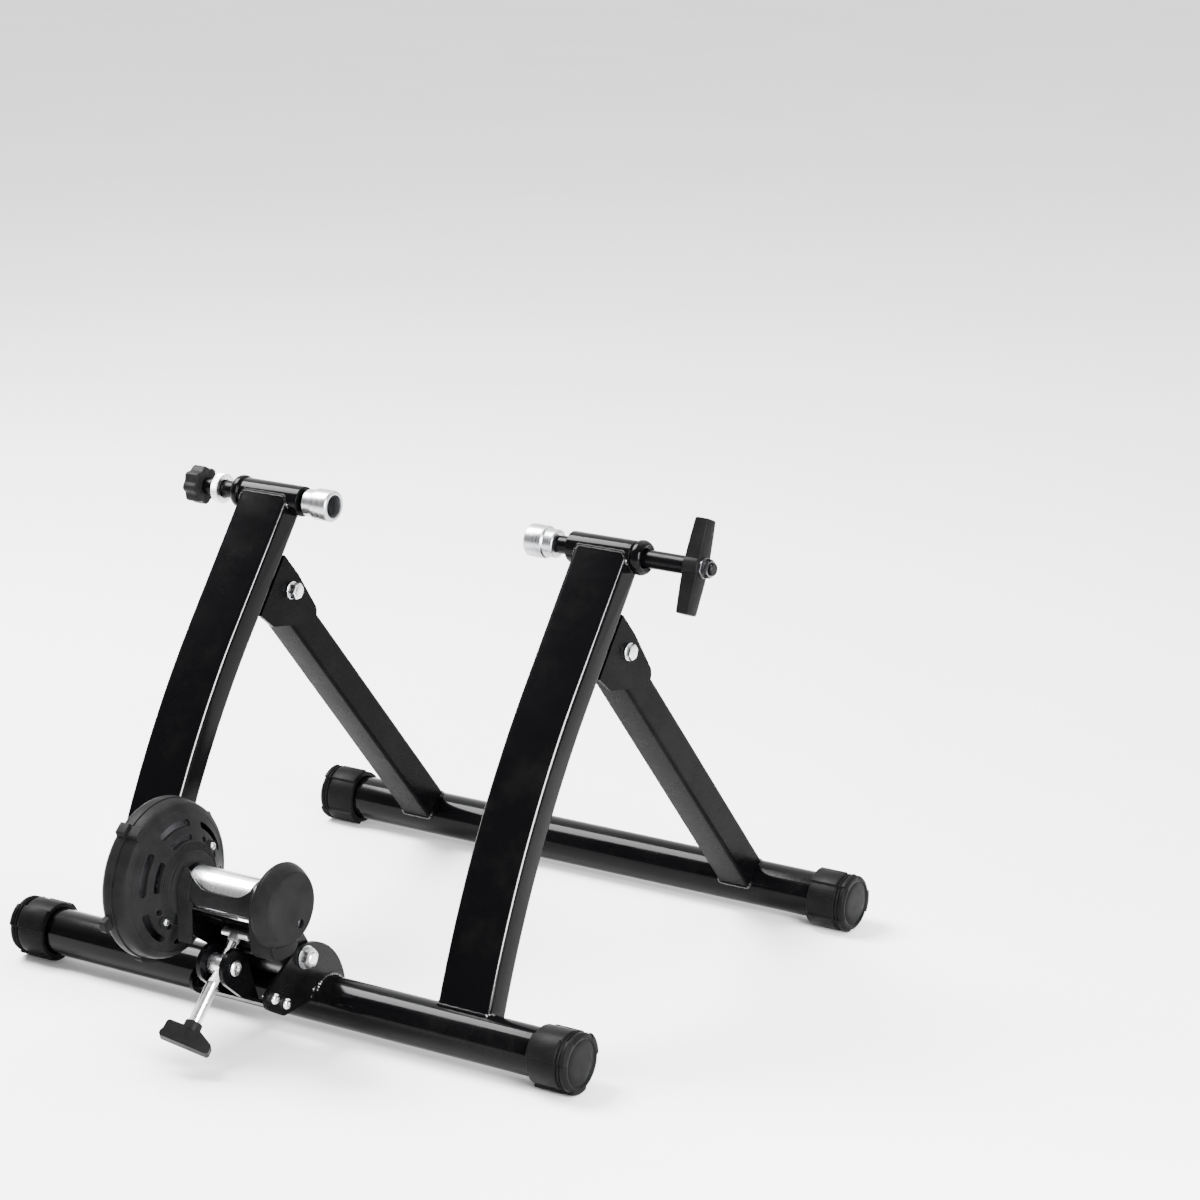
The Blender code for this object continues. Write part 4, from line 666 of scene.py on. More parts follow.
for side, tag in SIDES:
    x = side * UPRIGHT_X
    tube = cut(swept(PATH, x, UPRIGHT_W, UPRIGHT_D, UPRIGHT_WALL, UPRIGHT_CORNER),
               pin(FOOT_R + GAP, x - 0.05, x + 0.05, REAR_LINE, 96),
               pin(BARREL_R + GAP, x - 0.05, x + 0.05, AXLE_LINE))
    upright = piece("upright_tube_" + tag, tube, UPRIGHT_COAT, "rear_frame", ["upright_" + tag],
                    0.0, 28.0)
    # The rounded corners mirror more than the flats, for the bright line along them.
    upright.data.materials.append(CORNER_COAT)
    for face in upright.data.polygons:
        if 0.45 < face.normal.x < 0.90 and face.normal.y < 0.0:
            face.material_index = 1
    size = (x, UPRIGHT_W, UPRIGHT_D, UPRIGHT_CORNER)
    low = joint_line(*size, (foot_y, REAR_Z), s0, 1.0, FOOT_R + 0.0004, REAR_LINE)
    piece("upright_weld_" + tag, bead(low, 0.0017), WELD, "rear_frame")
    high = joint_line(*size, AXLE_LINE, s1, -1.0, BARREL_R + 0.0002, AXLE_LINE)
    piece("barrel_weld_" + tag, bead(high, 0.0015), WELD, "rear_frame")

# Hinge brackets
hinge_u = (HINGE - AXLE).dot(DOWN)
hinge_v = (HINGE - AXLE).dot(OUT)
leg_dir = Vector((FRONT_Y - HINGE_Y, FRONT_Z - HINGE_Z)).normalized()
leg_up = Vector((-leg_dir.y, leg_dir.x))
WEB_V = UPRIGHT_D / 2 + GAP


def upright_point(u, v):
    return tuple(AXLE + DOWN * u + OUT * v)


def leg_point(along, up):
    return tuple(HINGE + leg_dir * along + leg_up * up)


def hinge_bracket():
    lower = leg_point(0.0, -LEG_D / 2)
    nose = leg_point(0.0385, 0.0)
    outline = [upright_point(hinge_u - 0.0205, WEB_V), leg_point(-0.002, LEG_D / 2 + 0.001)]
    outline += arc(nose[0] - 0.002, nose[1] + 0.0035, 0.0105, 40.0, -62.0, 20)
    outline += [(lower[0] - 0.014, lower[1] - 0.0165), upright_point(hinge_u + 0.0345, WEB_V + 0.002),
                upright_point(hinge_u + 0.0345, WEB_V)]
    x0 = UPRIGHT_X - UPRIGHT_W / 2
    x1 = UPRIGHT_X + UPRIGHT_W / 2
    hole = [(*HINGE_LINE, HINGE_BORE)]
    web = [upright_point(hinge_u - 0.0200, WEB_V), upright_point(hinge_u + 0.0340, WEB_V),
           upright_point(hinge_u + 0.0340, WEB_V + PLATE_T), upright_point(hinge_u - 0.0200, WEB_V + PLATE_T)]
    return merge(slab(outline, x0, x0 + PLATE_T, hole), slab(outline, x1 - PLATE_T, x1, hole),
                 slab(web, x0 + 0.001, x1 - 0.001))


pair("hinge_channel_{}", hinge_bracket, LEG_COAT, "rear_frame", "hinge_bracket_{}", 0.0005, 40.0)

# Legs, each with a rounded heel that stops against the bracket's web
leg_slope = math.atan2(leg_dir.y, leg_dir.x)
heel_stop = hinge_v - WEB_V - PLATE_T - 0.0006
heel_r = heel_stop - 0.0004


def heel_waste(x):
    local = [(-heel_stop, -0.060), (0.060, -0.060), (0.060, 0.060), (0.0, 0.060), (0.0, heel_r)]
    local += arc(0.0, 0.0, heel_r, 93.75, 176.25, 22)
    local.append((-heel_stop, 0.0))
    kept = [tuple(HINGE + OUT * o + DOWN * d) for o, d in local]
    blank = [leg_point(-0.060, -0.050), leg_point(0.0, -0.050), leg_point(0.0, 0.050), leg_point(-0.060, 0.050)]
    return cut(slab(blank, x - 0.04, x + 0.04), slab(kept, x - 0.05, x + 0.05))


def leg_sleeve():
    reach = UPRIGHT_W / 2 - PLATE_T - GAP
    return ring(0.0065, 0.0045, UPRIGHT_X - reach, UPRIGHT_X + reach, HINGE_LINE, 48, 0.0003)


for side, tag in SIDES:
    x = side * UPRIGHT_X
    leg_path = [(*leg_point(-0.030, 0.0), leg_slope), (*FRONT_LINE, leg_slope)]
    tube = cut(swept(leg_path, x, LEG_W, LEG_D, LEG_WALL, LEG_CORNER),
               pin(FOOT_R + GAP, x - 0.05, x + 0.05, FRONT_LINE, 96),
               pin(0.0068, x - 0.05, x + 0.05, HINGE_LINE, 48), heel_waste(x))
    piece("leg_tube_" + tag, tube, LEG_COAT, "front_frame", ["leg_" + tag], 0.0, 28.0)
    low = joint_line(x, LEG_W, LEG_D, LEG_CORNER, FRONT_LINE, leg_slope, -1.0, FOOT_R + 0.0004, FRONT_LINE)
    piece("leg_weld_" + tag, bead(low, 0.0016), WELD, "front_frame")
    sleeve = leg_sleeve() if side > 0 else mirrored(leg_sleeve())
    piece("leg_sleeve_" + tag, sleeve, ZINC, "front_frame", ["hinge_sleeve_" + tag])

# Hinge fasteners
HEAD_X = UPRIGHT_X + UPRIGHT_W / 2 + GAP
INNER_X = UPRIGHT_X - UPRIGHT_W / 2 - GAP


def hinge_bolt():
    return merge(hex_head(0.0112, HEAD_X + 0.0011, 0.0036, HINGE_LINE, 12.0),
                 pin(0.0040, INNER_X - 0.0088, HEAD_X + 0.0020, HINGE_LINE, 40, 0.0004),
                 washer(0.0070, 0.0041, HEAD_X, 0.0012, HINGE_LINE))


def hinge_nut():
    # On the inner end of the right bolt, so that it faces the middle.
    return mirrored(merge(washer(0.0074, HINGE_BORE, -INNER_X, 0.0012, HINGE_LINE),
                          hex_head(0.0122, -INNER_X + 0.0012, 0.0062, HINGE_LINE, 0.0, HINGE_BORE)))


pair("hinge_screw_{}", hinge_bolt, ZINC, "rear_frame", "hinge_bolt_{}", 0.0, 26.0)
pair("hinge_locknut_{}", hinge_nut, ZINC, "rear_frame", "hinge_nut_{}", 0.0, 26.0)


# Axle clamps
def barrel():
    length = BARREL_OUT - BARREL_IN
    bore = SPINDLE_R + 0.0004
    profile = [(bore, 0.0), (BARREL_R, 0.0), (BARREL_R, length), (bore, length)]
    return spun(fillet(profile, 0.0009, 4), BARREL_IN, AXLE_LINE)


def collar():
    bore = SPINDLE_R + 0.0005
    profile = [(bore, 0.0), (0.0118, 0.0), (0.0120, 0.0010), (0.0138, 0.0020), (0.0140, 0.0050), (0.0132, 0.0075),
               (0.0118, 0.0092), (0.0100, 0.0095), (0.0090, 0.0080), (bore, 0.0078)]
    return spun(fillet(profile, 0.0008, 3), BARREL_OUT + GAP, AXLE_LINE)


def cup(face):
    profile = [(0.0095, 0.0), (0.0118, 0.0), (0.0130, 0.0012), (0.0130, 0.0161), (0.0112, 0.0172),
               (0.0112, 0.0252), (0.0104, 0.0260), (0.0065, 0.0260), (0.0065, 0.0182), (0.0091, 0.0182),
               (0.0091, 0.0132), (0.0088, 0.0132)]
    return spun(fillet(profile, 0.0004, 2), face, AXLE_LINE)


def spindle(face, end, tail):
    length = end - face
    profile = [(0.0, 0.0140), (0.0078, 0.0140), (0.0083, 0.0145), (0.0083, 0.0179), (0.0060, 0.0179),
               (0.0060, 0.0270), (SPINDLE_R, 0.0282), (SPINDLE_R, length - 0.0008), (SPINDLE_R - 0.0008, length),
               (0.0050, length), (0.0050, length + tail - 0.0006), (0.0044, length + tail), (0.0, length + tail)]
    return spun(profile, face, AXLE_LINE, 72)


pair("barrel_{}", barrel, GLOSS, "rear_frame", "clamp_barrel_{}")
pair("collar_{}", collar, GLOSS, "rear_frame", "clamp_collar_{}")
piece("axle_cone_right", cup(RIGHT_CUP), CUP_STEEL, "right_cup", ["clamp_cup_right"])
piece("axle_cone_left", mirrored(cup(LEFT_CUP)), CUP_STEEL, "left_cup", ["clamp_cup_left"])
handle_end = HANDLE_X - HANDLE_T / 2 - 0.0018
piece("spindle_right", spindle(RIGHT_CUP, handle_end, 0.0245), SATIN, "right_spindle",
      ["clamp_spindle_right"])
piece("spindle_left", mirrored(spindle(LEFT_CUP, LEFT_END, 0.016)), SATIN, "left_spindle",
      ["clamp_spindle_left"])


def t_handle():
    # A hub with two arms, each tapering outward through (reach, half thickness, half width).
    hub = [(0.0052, -0.0015), (0.0088, -0.0015), (0.0102, 0.0), (0.0102, 0.012), (0.0086, 0.0132), (0.0052, 0.0132)]
    parts = [spun(fillet(hub, 0.0008, 4), HANDLE_X - HANDLE_T / 2, AXLE_LINE, 64)]
    tilt = math.radians(HANDLE_TILT)
    along = Vector((0.0, math.sin(tilt), math.cos(tilt)))
    across = Vector((0.0, math.cos(tilt), -math.sin(tilt)))
    for sign in (1, -1):
        bm = bmesh.new()
        rings = []
        for reach, half_x, half_c in ((0.0062, 0.0069, 0.0085), (0.0120, 0.0068, 0.0083), (0.0240, 0.0064, 0.0076),
                                      (0.0345, 0.0060, 0.0070), (0.0368, 0.0058, 0.0068), (0.0375, 0.0050, 0.0060)):
            mid = Vector((HANDLE_X, *AXLE_LINE)) + along * (sign * reach)
            section = rounded_rect(2 * half_x, 2 * half_c, 0.0016, 3)
            rings.append([bm.verts.new(mid + Vector((u, 0, 0)) + across * v) for u, v in section])
        skin(bm, rings)
        bm.faces.new(rings[0])
        bm.faces.new(rings[-1])
        parts.append(closed(bm))
    return merge(*parts)


piece("tee_handle", t_handle(), HANDLE, "right_spindle", ["clamp_handle"], 0.0, 40.0)
nut_x = HANDLE_X + HANDLE_T / 2 + 0.0015
nut = merge(washer(0.0080, 0.0053, nut_x, 0.0013, AXLE_LINE),
            hex_head(0.0130, nut_x + 0.0013, 0.0053, AXLE_LINE, 15.0, 0.0053))
piece("tee_handle_nut", nut, DARK_ZINC, "right_spindle", ["handle_nut"], 0.0, 26.0)


def left_knob():
    profile = [(0.0053, 0.0), (0.0145, 0.0), (0.0150, 0.0015), (0.0150, 0.0125), (0.0135, 0.0140), (0.0053, 0.0140)]

    def grip(radius, a):
        return radius + 0.0011 * min(max((radius - 0.0060) / 0.009, 0.0), 1.0) * math.cos(8 * a)
    return mirrored(spun(fillet(profile, 0.0010, 3), LEFT_END + 0.0010, AXLE_LINE, 128, grip))


def lock_ring():
    bore = SPINDLE_R + 0.0005
    profile = [(bore, 0.0), (0.0125, 0.0), (0.0125, 0.0065), (bore, 0.0065)]

    def knurl(radius, a):
        return radius - (0.0003 * abs(math.sin(30 * a)) if radius > 0.0115 else 0.0)
    return mirrored(spun(fillet(profile, 0.0007, 3), BARREL_OUT + GAP + COLLAR_T + 0.0135, AXLE_LINE, 240, knurl))


piece("left_grip", left_knob(), KNOB_MAT, "left_spindle", ["clamp_knob_left"], 0.0, 40.0)
piece("left_lock_ring", lock_ring(), ZINC, "left_spindle", ["lock_ring_left"])

# Brake base
PLATE_OUT = BASE_IN + BASE_T
SADDLE_R = FOOT_R + GAP
CREST_Y = PIVOT_Y - 0.002
CREST_Z = PIVOT_Z - 0.042
CREST_R = 0.0525


def base_outline(notch):
    # A crest over the pivot, a notch for the foot tube and two lobes for the trunnion bracket.
    front_z = CREST_Z + CREST_R * math.sin(math.radians(10.0))
    start = math.degrees(math.asin(max(min((front_z - 0.0005 - REAR_Z) / notch, 1.0), -1.0)))
    end = 180.0 - math.degrees(math.asin(max(min((0.0315 - REAR_Z) / notch, 1.0), -1.0)))
    out = arc(CREST_Y, CREST_Z, CREST_R, 97.0, 10.0, 40) + arc(0.0, REAR_Z, notch, start, end, 32)
    out.append((LOBE_B.x + 0.012, LOBE_B.y - 0.0085))
    return out + arc(*LOBE_B, 0.0095, -80.0, -118.0, 8) + arc(*LOBE_A, 0.0100, -120.0, -225.0, 20)


plate = base_outline(SADDLE_R + 0.0001)
lobe_holes = [(*LOBE_A, LOBE_BORE), (*LOBE_B, LOBE_BORE)]
holes = [(*PIVOT_LINE, PIVOT_BORE)] + lobe_holes
saddle = arc(0.0, REAR_Z, SADDLE_R + BASE_T, 35.0, 128.0, 32) + arc(0.0, REAR_Z, SADDLE_R, 128.0, 35.0, 32)
base = merge(slab(plate, BASE_IN, PLATE_OUT, holes), slab(plate, -PLATE_OUT, -BASE_IN, holes),
             slab(saddle, -BASE_IN - 0.0010, BASE_IN + 0.0010))
piece("brake_side_plates", base, SATIN, "rear_frame", ["brake_base"], 0.0004, 40.0)
for side, tag in SIDES:
    line = [(side * (PLATE_OUT + 0.0002), y, z) for y, z in arc(0.0, REAR_Z, FOOT_R + 0.0010, 42.0, 146.0, 26)]
    piece("base_weld_" + tag, bead(line, 0.0016, 0.3, 0.0024, False), WELD, "rear_frame")


def tack(y, z, radius):
    # A drop of weld metal on the right plate.
    dome = ((1.0, 0.0), (0.92, 0.22), (0.70, 0.44), (0.38, 0.56), (0.0, 0.60))
    profile = [(0.0, -0.001)] + [(radius * r, radius * h) for r, h in dome]
    return spun(profile, PLATE_OUT - 0.0004, (y, z), 24,
                lambda r, a: r * (1.0 + 0.12 * math.sin(3 * a + 40000.0 * r)))


TACKS = ((-0.0050, 0.0430, 0.0026), (-0.0120, 0.0410, 0.0020), (-0.0180, 0.0390, 0.0024),
         (-0.0120, 0.0325, 0.0022), (-0.0215, 0.0345, 0.0017))
piece("base_tack_welds", merge(*(tack(*spot) for spot in TACKS)), WELD, "rear_frame", (), 0.0, 50.0)

# Trunnion bracket
web_dir = (LOBE_B - LOBE_A).normalized()
web_up = Vector((-web_dir.y, web_dir.x))
LOBE_MID = (LOBE_A + LOBE_B) / 2


def web_point(along, up):
    return tuple(LOBE_MID + web_dir * along + web_up * up)


flange_out = BASE_IN - GAP
flange = hull(arc(*LOBE_A, 0.0065, 0.0, 350.0, 35) + arc(*LOBE_B, 0.0065, 0.0, 350.0, 35))
ear = hull(arc(TR.y, TR.z, 0.0150, 0.0, 355.0, 71) + [web_point(-0.0135, -0.0058), web_point(0.0118, -0.0058)])
web = [web_point(*at) for at in ((-0.0130, -0.0062), (0.0125, -0.0062), (0.0125, -0.0034), (-0.0130, -0.0034))]
parts = [slab(web, -flange_out + 0.0012, flange_out - 0.0012)]
for side in (1, -1):
    parts.append(slab(flange, *sorted((side * (flange_out - 0.0025), side * flange_out)), lobe_holes))
    parts.append(slab(ear, *sorted((side * EAR_IN, side * (EAR_IN + EAR_T))), [(TR.y, TR.z, 0.0046)]))
piece("trunnion_ears", merge(*parts), SATIN, "rear_frame", ["trunnion_bracket"], 0.0005, 40.0)


# Small fasteners on the base
def small_bolt(y, z):
    x = PLATE_OUT + GAP
    rows = [(0.0, 0.0, 0.0), (0.0044, 0.0, 0.0), (0.0044, 0.0012, 0.0005), (0.0034, 0.0027, 0.0007), (0.0, 0.0031, 0.0)]
    head = spun(rounded(rows, 4), x, (y, z), 48)
    head = cut(head, slab(arc(y, z, 0.0016, 0.0, 300.0, 5), x + 0.0013, x + 0.005))
    return merge(head, pin(0.0025, BASE_IN - 0.0065, x + 0.001, (y, z), 32, 0.0003))


for tag, lobe in (("rear", LOBE_A), ("front", LOBE_B)):
    pair("base_screw_{}_" + tag, lambda: small_bolt(*lobe), CHROME, "rear_frame", "bracket_bolt_{}_" + tag,
         0.0, 30.0)

plate_x = PLATE_OUT + GAP
bolt = merge(mirrored(hex_head(0.0140, plate_x, 0.0061, PIVOT_LINE, 4.0)),
             pin(PIVOT_R, -plate_x - 0.002, plate_x + 0.004, PIVOT_LINE, 40),
             stud(PIVOT_R, plate_x + 0.0030, plate_x + 0.0081, PIVOT_LINE))
piece("pivot_screw", bolt, ZINC, "rear_frame", ["pivot_bolt"], 0.0, 26.0)
nut = merge(washer(0.0092, PIVOT_BORE, plate_x, 0.0013, PIVOT_LINE),
            hex_head(0.0140, plate_x + 0.0013, 0.0054, PIVOT_LINE, 8.0, PIVOT_BORE, 0.0012))
piece("pivot_locknut", nut, NUT_ZINC, "rear_frame", ["pivot_nut"], 0.0, 26.0)


# Swing arm
def arm_web_point(along, up):
    p = PUSH.yz + ROD.yz * (PUSH_R + 0.0009 + up) + Vector((ROD.z, -ROD.y)) * along
    return tuple(p)


def swing_arm():
    low = (Vector(PIVOT_LINE) - PUSH.yz).dot(Vector((ROD.z, -ROD.y))) - 0.0066
    kink = Vector(arm_web_point(-0.0140, 0.0))
    tip = kink + Vector((-0.925, 0.381)) * 0.0125
    outline = [arm_web_point(low, 0.0), arm_web_point(low, ARM_T), arm_web_point(-0.0132, ARM_T),
               tuple(tip + Vector((0.381, 0.925)) * ARM_T), tuple(tip), tuple(kink)]
    inside = ARM_IN + 0.0010
    parts = [slab(outline, -inside, inside), ring(0.008, PIVOT_BORE, -inside, inside, PIVOT_LINE, 48)]
    sheet = hull(arc(RY, RZ, 0.0172, 0.0, 355.0, 71) + arc(*PIVOT_LINE, 0.0125, 0.0, 355.0, 71)
                 + [(RY - 0.0112, RZ - 0.0345)])
    bores = [(RY, RZ, BEARING_BORE), (*PIVOT_LINE, PIVOT_BORE)]
    for side in (1, -1):
        parts.append(slab(sheet, *sorted((side * ARM_IN, side * (ARM_IN + ARM_T))), bores))
        boss = ring(0.0163, BEARING_BORE, ARM_IN + 0.0008, ARM_IN + 0.0092, ROLLER_LINE, 72, 0.0004)
        parts.append(boss if side > 0 else mirrored(boss))
    return merge(*parts)


def bearing():
    profile = [(SHAFT_BORE, 0.0), (0.0076, 0.0), (0.0079, 0.0007), (0.0107, 0.0007), (0.0110, 0.0), (0.0130, 0.0),
               (0.0130, 0.0074), (SHAFT_BORE, 0.0074)]
    return spun(fillet(profile, 0.0002, 2), ARM_IN + 0.0006, ROLLER_LINE, 72)


def bearing_seal():
    return ring(0.0106, 0.0080, ARM_IN + 0.0009, ARM_IN + 0.00128, ROLLER_LINE, 64, 0.0001)


piece("arm_plates", swing_arm(), SATIN, "brake_arm", ["swing_arm"], 0.0004, 40.0)
pair("ball_bearing_{}", bearing, BEARING_STEEL, "brake_arm", "shaft_bearing_{}")
pair("bearing_seal_{}", bearing_seal, SEAL, "brake_arm")


# Brake housing
def polar(r, angle, y=RY, z=RZ):
    a = math.radians(angle)
    return (y - r * math.cos(a), z + r * math.sin(a))


def arc_slot(r0, r1, start, end, x0, x1):
    # A curved slot with round ends.
    mid = (r0 + r1) / 2
    half = (r1 - r0) / 2
    trim = math.degrees(half / mid)
    start += trim
    end -= trim
    outline = []
    for r, a, b, flip in ((r1, start, end, 0.0), (r0, end, start, 180.0)):
        outline += [polar(r, a + (b - a) * k / 14) for k in range(15)]
        outline += [polar(half, b + flip + 22.5 * k, *polar(mid, b)) for k in range(1, 8)]
    return slab(outline, x0, x1)


def housing_block(angle, r0, r1, half, x0, x1):
    a = math.radians(angle)
    radial = Vector((-math.cos(a), math.sin(a)))
    across = Vector((radial.y, -radial.x))
    corners = ((r0, -half), (r1, -half * 0.8), (r1, half * 0.8), (r0, half))
    points = [tuple(Vector(ROLLER_LINE) + radial * r + across * t) for r, t in corners]
    return slab(fillet(points, [0.0, 0.0012, 0.0012, 0.0], 4), x0, x1)


NECK_R = 0.0258
CONE_LOW_R = NECK_R + 0.0008
CONE_LOW = 0.0362
CONE_HIGH_R = 0.0598
CONE_HIGH = 0.0526
OUTER_VENT = (0.0435, 0.0486)
INNER_VENT = (0.0338, 0.0381)
NECK_X = ARM_IN + ARM_T + GAP
SCREWS_R = (INNER_VENT[0] + INNER_VENT[1]) / 2


def cone_x(r):
    return CONE_LOW + (CONE_HIGH - CONE_LOW) * (r - CONE_LOW_R) / (CONE_HIGH_R - CONE_LOW_R)


SCREW_FACE = cone_x(SCREWS_R - 0.0033)


def inner_shell():
    # Rows of (radius, distance from the middle, rounding), first outside and then inside.
    rows = [(NECK_R, NECK_X, 0.0008), (CONE_LOW_R, CONE_LOW, 0.0006)]
    for k in range(4):
        r = 0.0276 + 0.0015 * k
        rows += [(r, cone_x(r), 0.0002), (r + 0.0003, cone_x(r) - 0.0005, 0.0002),
                 (r + 0.0008, cone_x(r) - 0.0004, 0.0002), (r + 0.0010, cone_x(r + 0.0010), 0.0002)]
    lip = CONE_HIGH_R - 0.0052
    rows += [(lip, cone_x(lip), 0.0003), (lip + 0.0005, cone_x(lip + 0.0005) - 0.0004, 0.0003),
             (CONE_HIGH_R, CONE_HIGH, 0.0012), (0.0610, 0.0550, 0.0030), (0.0622, 0.0622, 0.0003)]
    rows += [(0.0597, 0.0622, 0.0003), (0.0585, 0.0560, 0.002), (0.0573, cone_x(0.0573) + 0.0026, 0.001),
             (CONE_LOW_R + 0.0009, cone_x(CONE_LOW_R + 0.0009) + 0.0026, 0.001),
             (NECK_R - 0.0025, NECK_X + 0.0026, 0.001), (0.0168, NECK_X + 0.0026, 0.0003), (0.0168, NECK_X, 0.0003)]
    profile = rounded([(r, x - NECK_X, rounding) for r, x, rounding in rows], 3)
    bm = turned(profile, (-1, 0, 0), (-NECK_X, *ROLLER_LINE), 144)
    solids = [housing_block(50.5, 0.0590, 0.0648, 0.0056, -0.0622, -0.0520)]
    for _, angle in SCREW_ANGLES:
        boss = pin(0.0046, cone_x(SCREWS_R) + 0.0022, SCREW_FACE, polar(SCREWS_R, angle), 40, 0.0004)
        solids.append(mirrored(boss))
    slots = []
    for k in range(6):
        c = 22.5 + 60.0 * k
        by_screw = min(abs((c - a + 180.0) % 360.0 - 180.0) for _, a in SCREW_ANGLES) <= 10.0
        slots.append(arc_slot(*OUTER_VENT, c - 21.5, c + 21.5, -0.0610, -0.0400))
        for a, b in ((11.0, 19.5), (-19.5, -11.0)) if by_screw else ((-19.5, 19.5),):
            slots.append(arc_slot(*INNER_VENT, c + a, c + b, -0.0600, -0.0370))
    return cut(join(bm, *solids), *slots)


def outer_shell():
    depth = HOUSING_BACK - SEAM
    rows = [(0.0, depth, 0.0), (0.0440, depth, 0.003), (0.0530, depth - 0.0016, 0.004),
            (0.0610, depth - 0.0070, 0.003), (0.0630, depth - 0.0105, 0.002), (0.0630, 0.0, 0.0004),
            (0.0605, 0.0, 0.0004), (0.0605, depth - 0.0100, 0.002), (0.0510, depth - 0.0040, 0.002),
            (0.0436, depth - 0.0025, 0.001), (0.0, depth - 0.0025, 0.0)]
    bm = turned(rounded(rows, 4), (-1, 0, 0), (-SEAM, *ROLLER_LINE), 144)
    lugs = [(50.5, 0.0618, 0.0674, 0.0060, -0.0705, -SEAM), (-17.0, 0.0618, 0.0706, 0.0056, -0.0705, -0.0655),
            (-70.0, 0.0618, 0.0652, 0.0100, -0.0700, -SEAM), (150.0, 0.0618, 0.0670, 0.0070, -0.0720, -SEAM)]
    slots = []
    for k in range(6):
        c = 22.5 + 60.0 * k
        slots.append(arc_slot(0.0330, 0.0362, c - 20.0, c + 20.0, -0.084, -0.076))
        slots.append(arc_slot(0.0250, 0.0276, c - 16.0, c + 16.0, -0.084, -0.0793))
    return cut(join(bm, *(housing_block(*lug) for lug in lugs)), *slots)


def pan_screw(y, z):
    x = -SCREW_FACE + GAP
    rows = [(0.0, 0.0, 0.0), (0.0030, 0.0, 0.0), (0.0030, 0.0010, 0.0006), (0.0020, 0.0021, 0.0006), (0.0, 0.0024, 0.0)]
    head = spun(rounded(rows, 4), x, (y, z), 40)
    cross = []
    for a, b in ((0.0019, 0.0004), (0.0004, 0.0019)):
        cross.append(block(x + 0.0012, x + 0.004, y - a, y + a, z - b, z + b))
    return cut(head, *cross)


piece("housing_vented_cone", inner_shell(), HOUSING, "brake_arm", ["housing_inner_shell"], 0.0, 30.0)
piece("housing_back_shell", outer_shell(), HOUSING, "brake_arm", ["housing_outer_shell"], 0.0, 30.0)
for tag, angle in SCREW_ANGLES:
    piece("housing_fastener_" + tag, pan_screw(*polar(SCREWS_R, angle)), NUT_ZINC, "brake_arm",
          ["housing_screw_" + tag], 0.0, 30.0)


# Roller cover
def smooth_stations(points, steps=5):
    # Catmull-Rom through the given rows of numbers.
    out = []
    for i in range(len(points) - 1):
        last = len(points) - 1
        rows = list(zip(points[max(i - 1, 0)], points[i], points[i + 1], points[min(i + 2, last)]))
        for k in range(steps):
            t = k / steps
            out.append(tuple(0.5 * (2 * b + (c - a) * t + (2 * a - 5 * b + 4 * c - d) * t * t
                                    + (3 * b - 3 * c + d - a) * t ** 3) for a, b, c, d in rows))
    out.append(points[-1])
    return out


def shroud(stations, inner, outer, rows):
    # A curved sheet round the roller, through stations of (x, first angle, last angle).
    bm = bmesh.new()
    grids = []
    for r in (outer, inner):
        grids.append([[bm.verts.new((x, *polar(r, first + (last - first) * k / rows))) for k in range(rows + 1)]
                      for x, first, last in stations])
    for grid in grids:
        for a, b in zip(grid, grid[1:]):
            for k in range(rows):
                bm.faces.new((a[k], a[k + 1], b[k + 1], b[k]))
    big, small = grids
    for i in range(len(stations) - 1):
        for k in (0, rows):
            bm.faces.new((big[i][k], big[i + 1][k], small[i + 1][k], small[i][k]))
    for i in (0, -1):
        for k in range(rows):
            bm.faces.new((big[i][k], big[i][k + 1], small[i][k + 1], small[i][k]))
    return closed(bm)


LOBE_BACK = (-0.0075, -0.0300)
LOBE_FRONT = (0.0045, -0.0300)
LOBE_R = 0.0108
LOBE_END_X = 0.0535
COVER_R = 0.0336
COVER_WALL = 0.0022
SHROUD_R = 0.0202
SCOOP_LOW = -21.0
# Where the shroud's upper edge runs: position along the roller and angle
SCOOP = ((-0.0225, 41.0), (-0.0185, 32.5), (-0.0145, 25.0), (-0.0108, 20.0), (-0.0050, 17.8), (0.0085, 17.0),
         (0.0163, 17.6), (0.0233, 20.5), (0.0275, 26.0), (0.0305, 33.0), (0.0345, 46.0))
SLEEVE = ((-0.0335, -30.0, 60.0), (-0.0300, -30.0, 58.0), (-0.0260, -30.0, 50.0), (-0.0220, -30.0, 40.0))


def lobe_outline(r, extra=()):
    points = arc(*LOBE_BACK, r, 90.0, 330.0, 48) + arc(*LOBE_FRONT, r, 210.0, 450.0, 48)
    return [(RY + y, RZ + z) for y, z in hull(points + list(extra))]


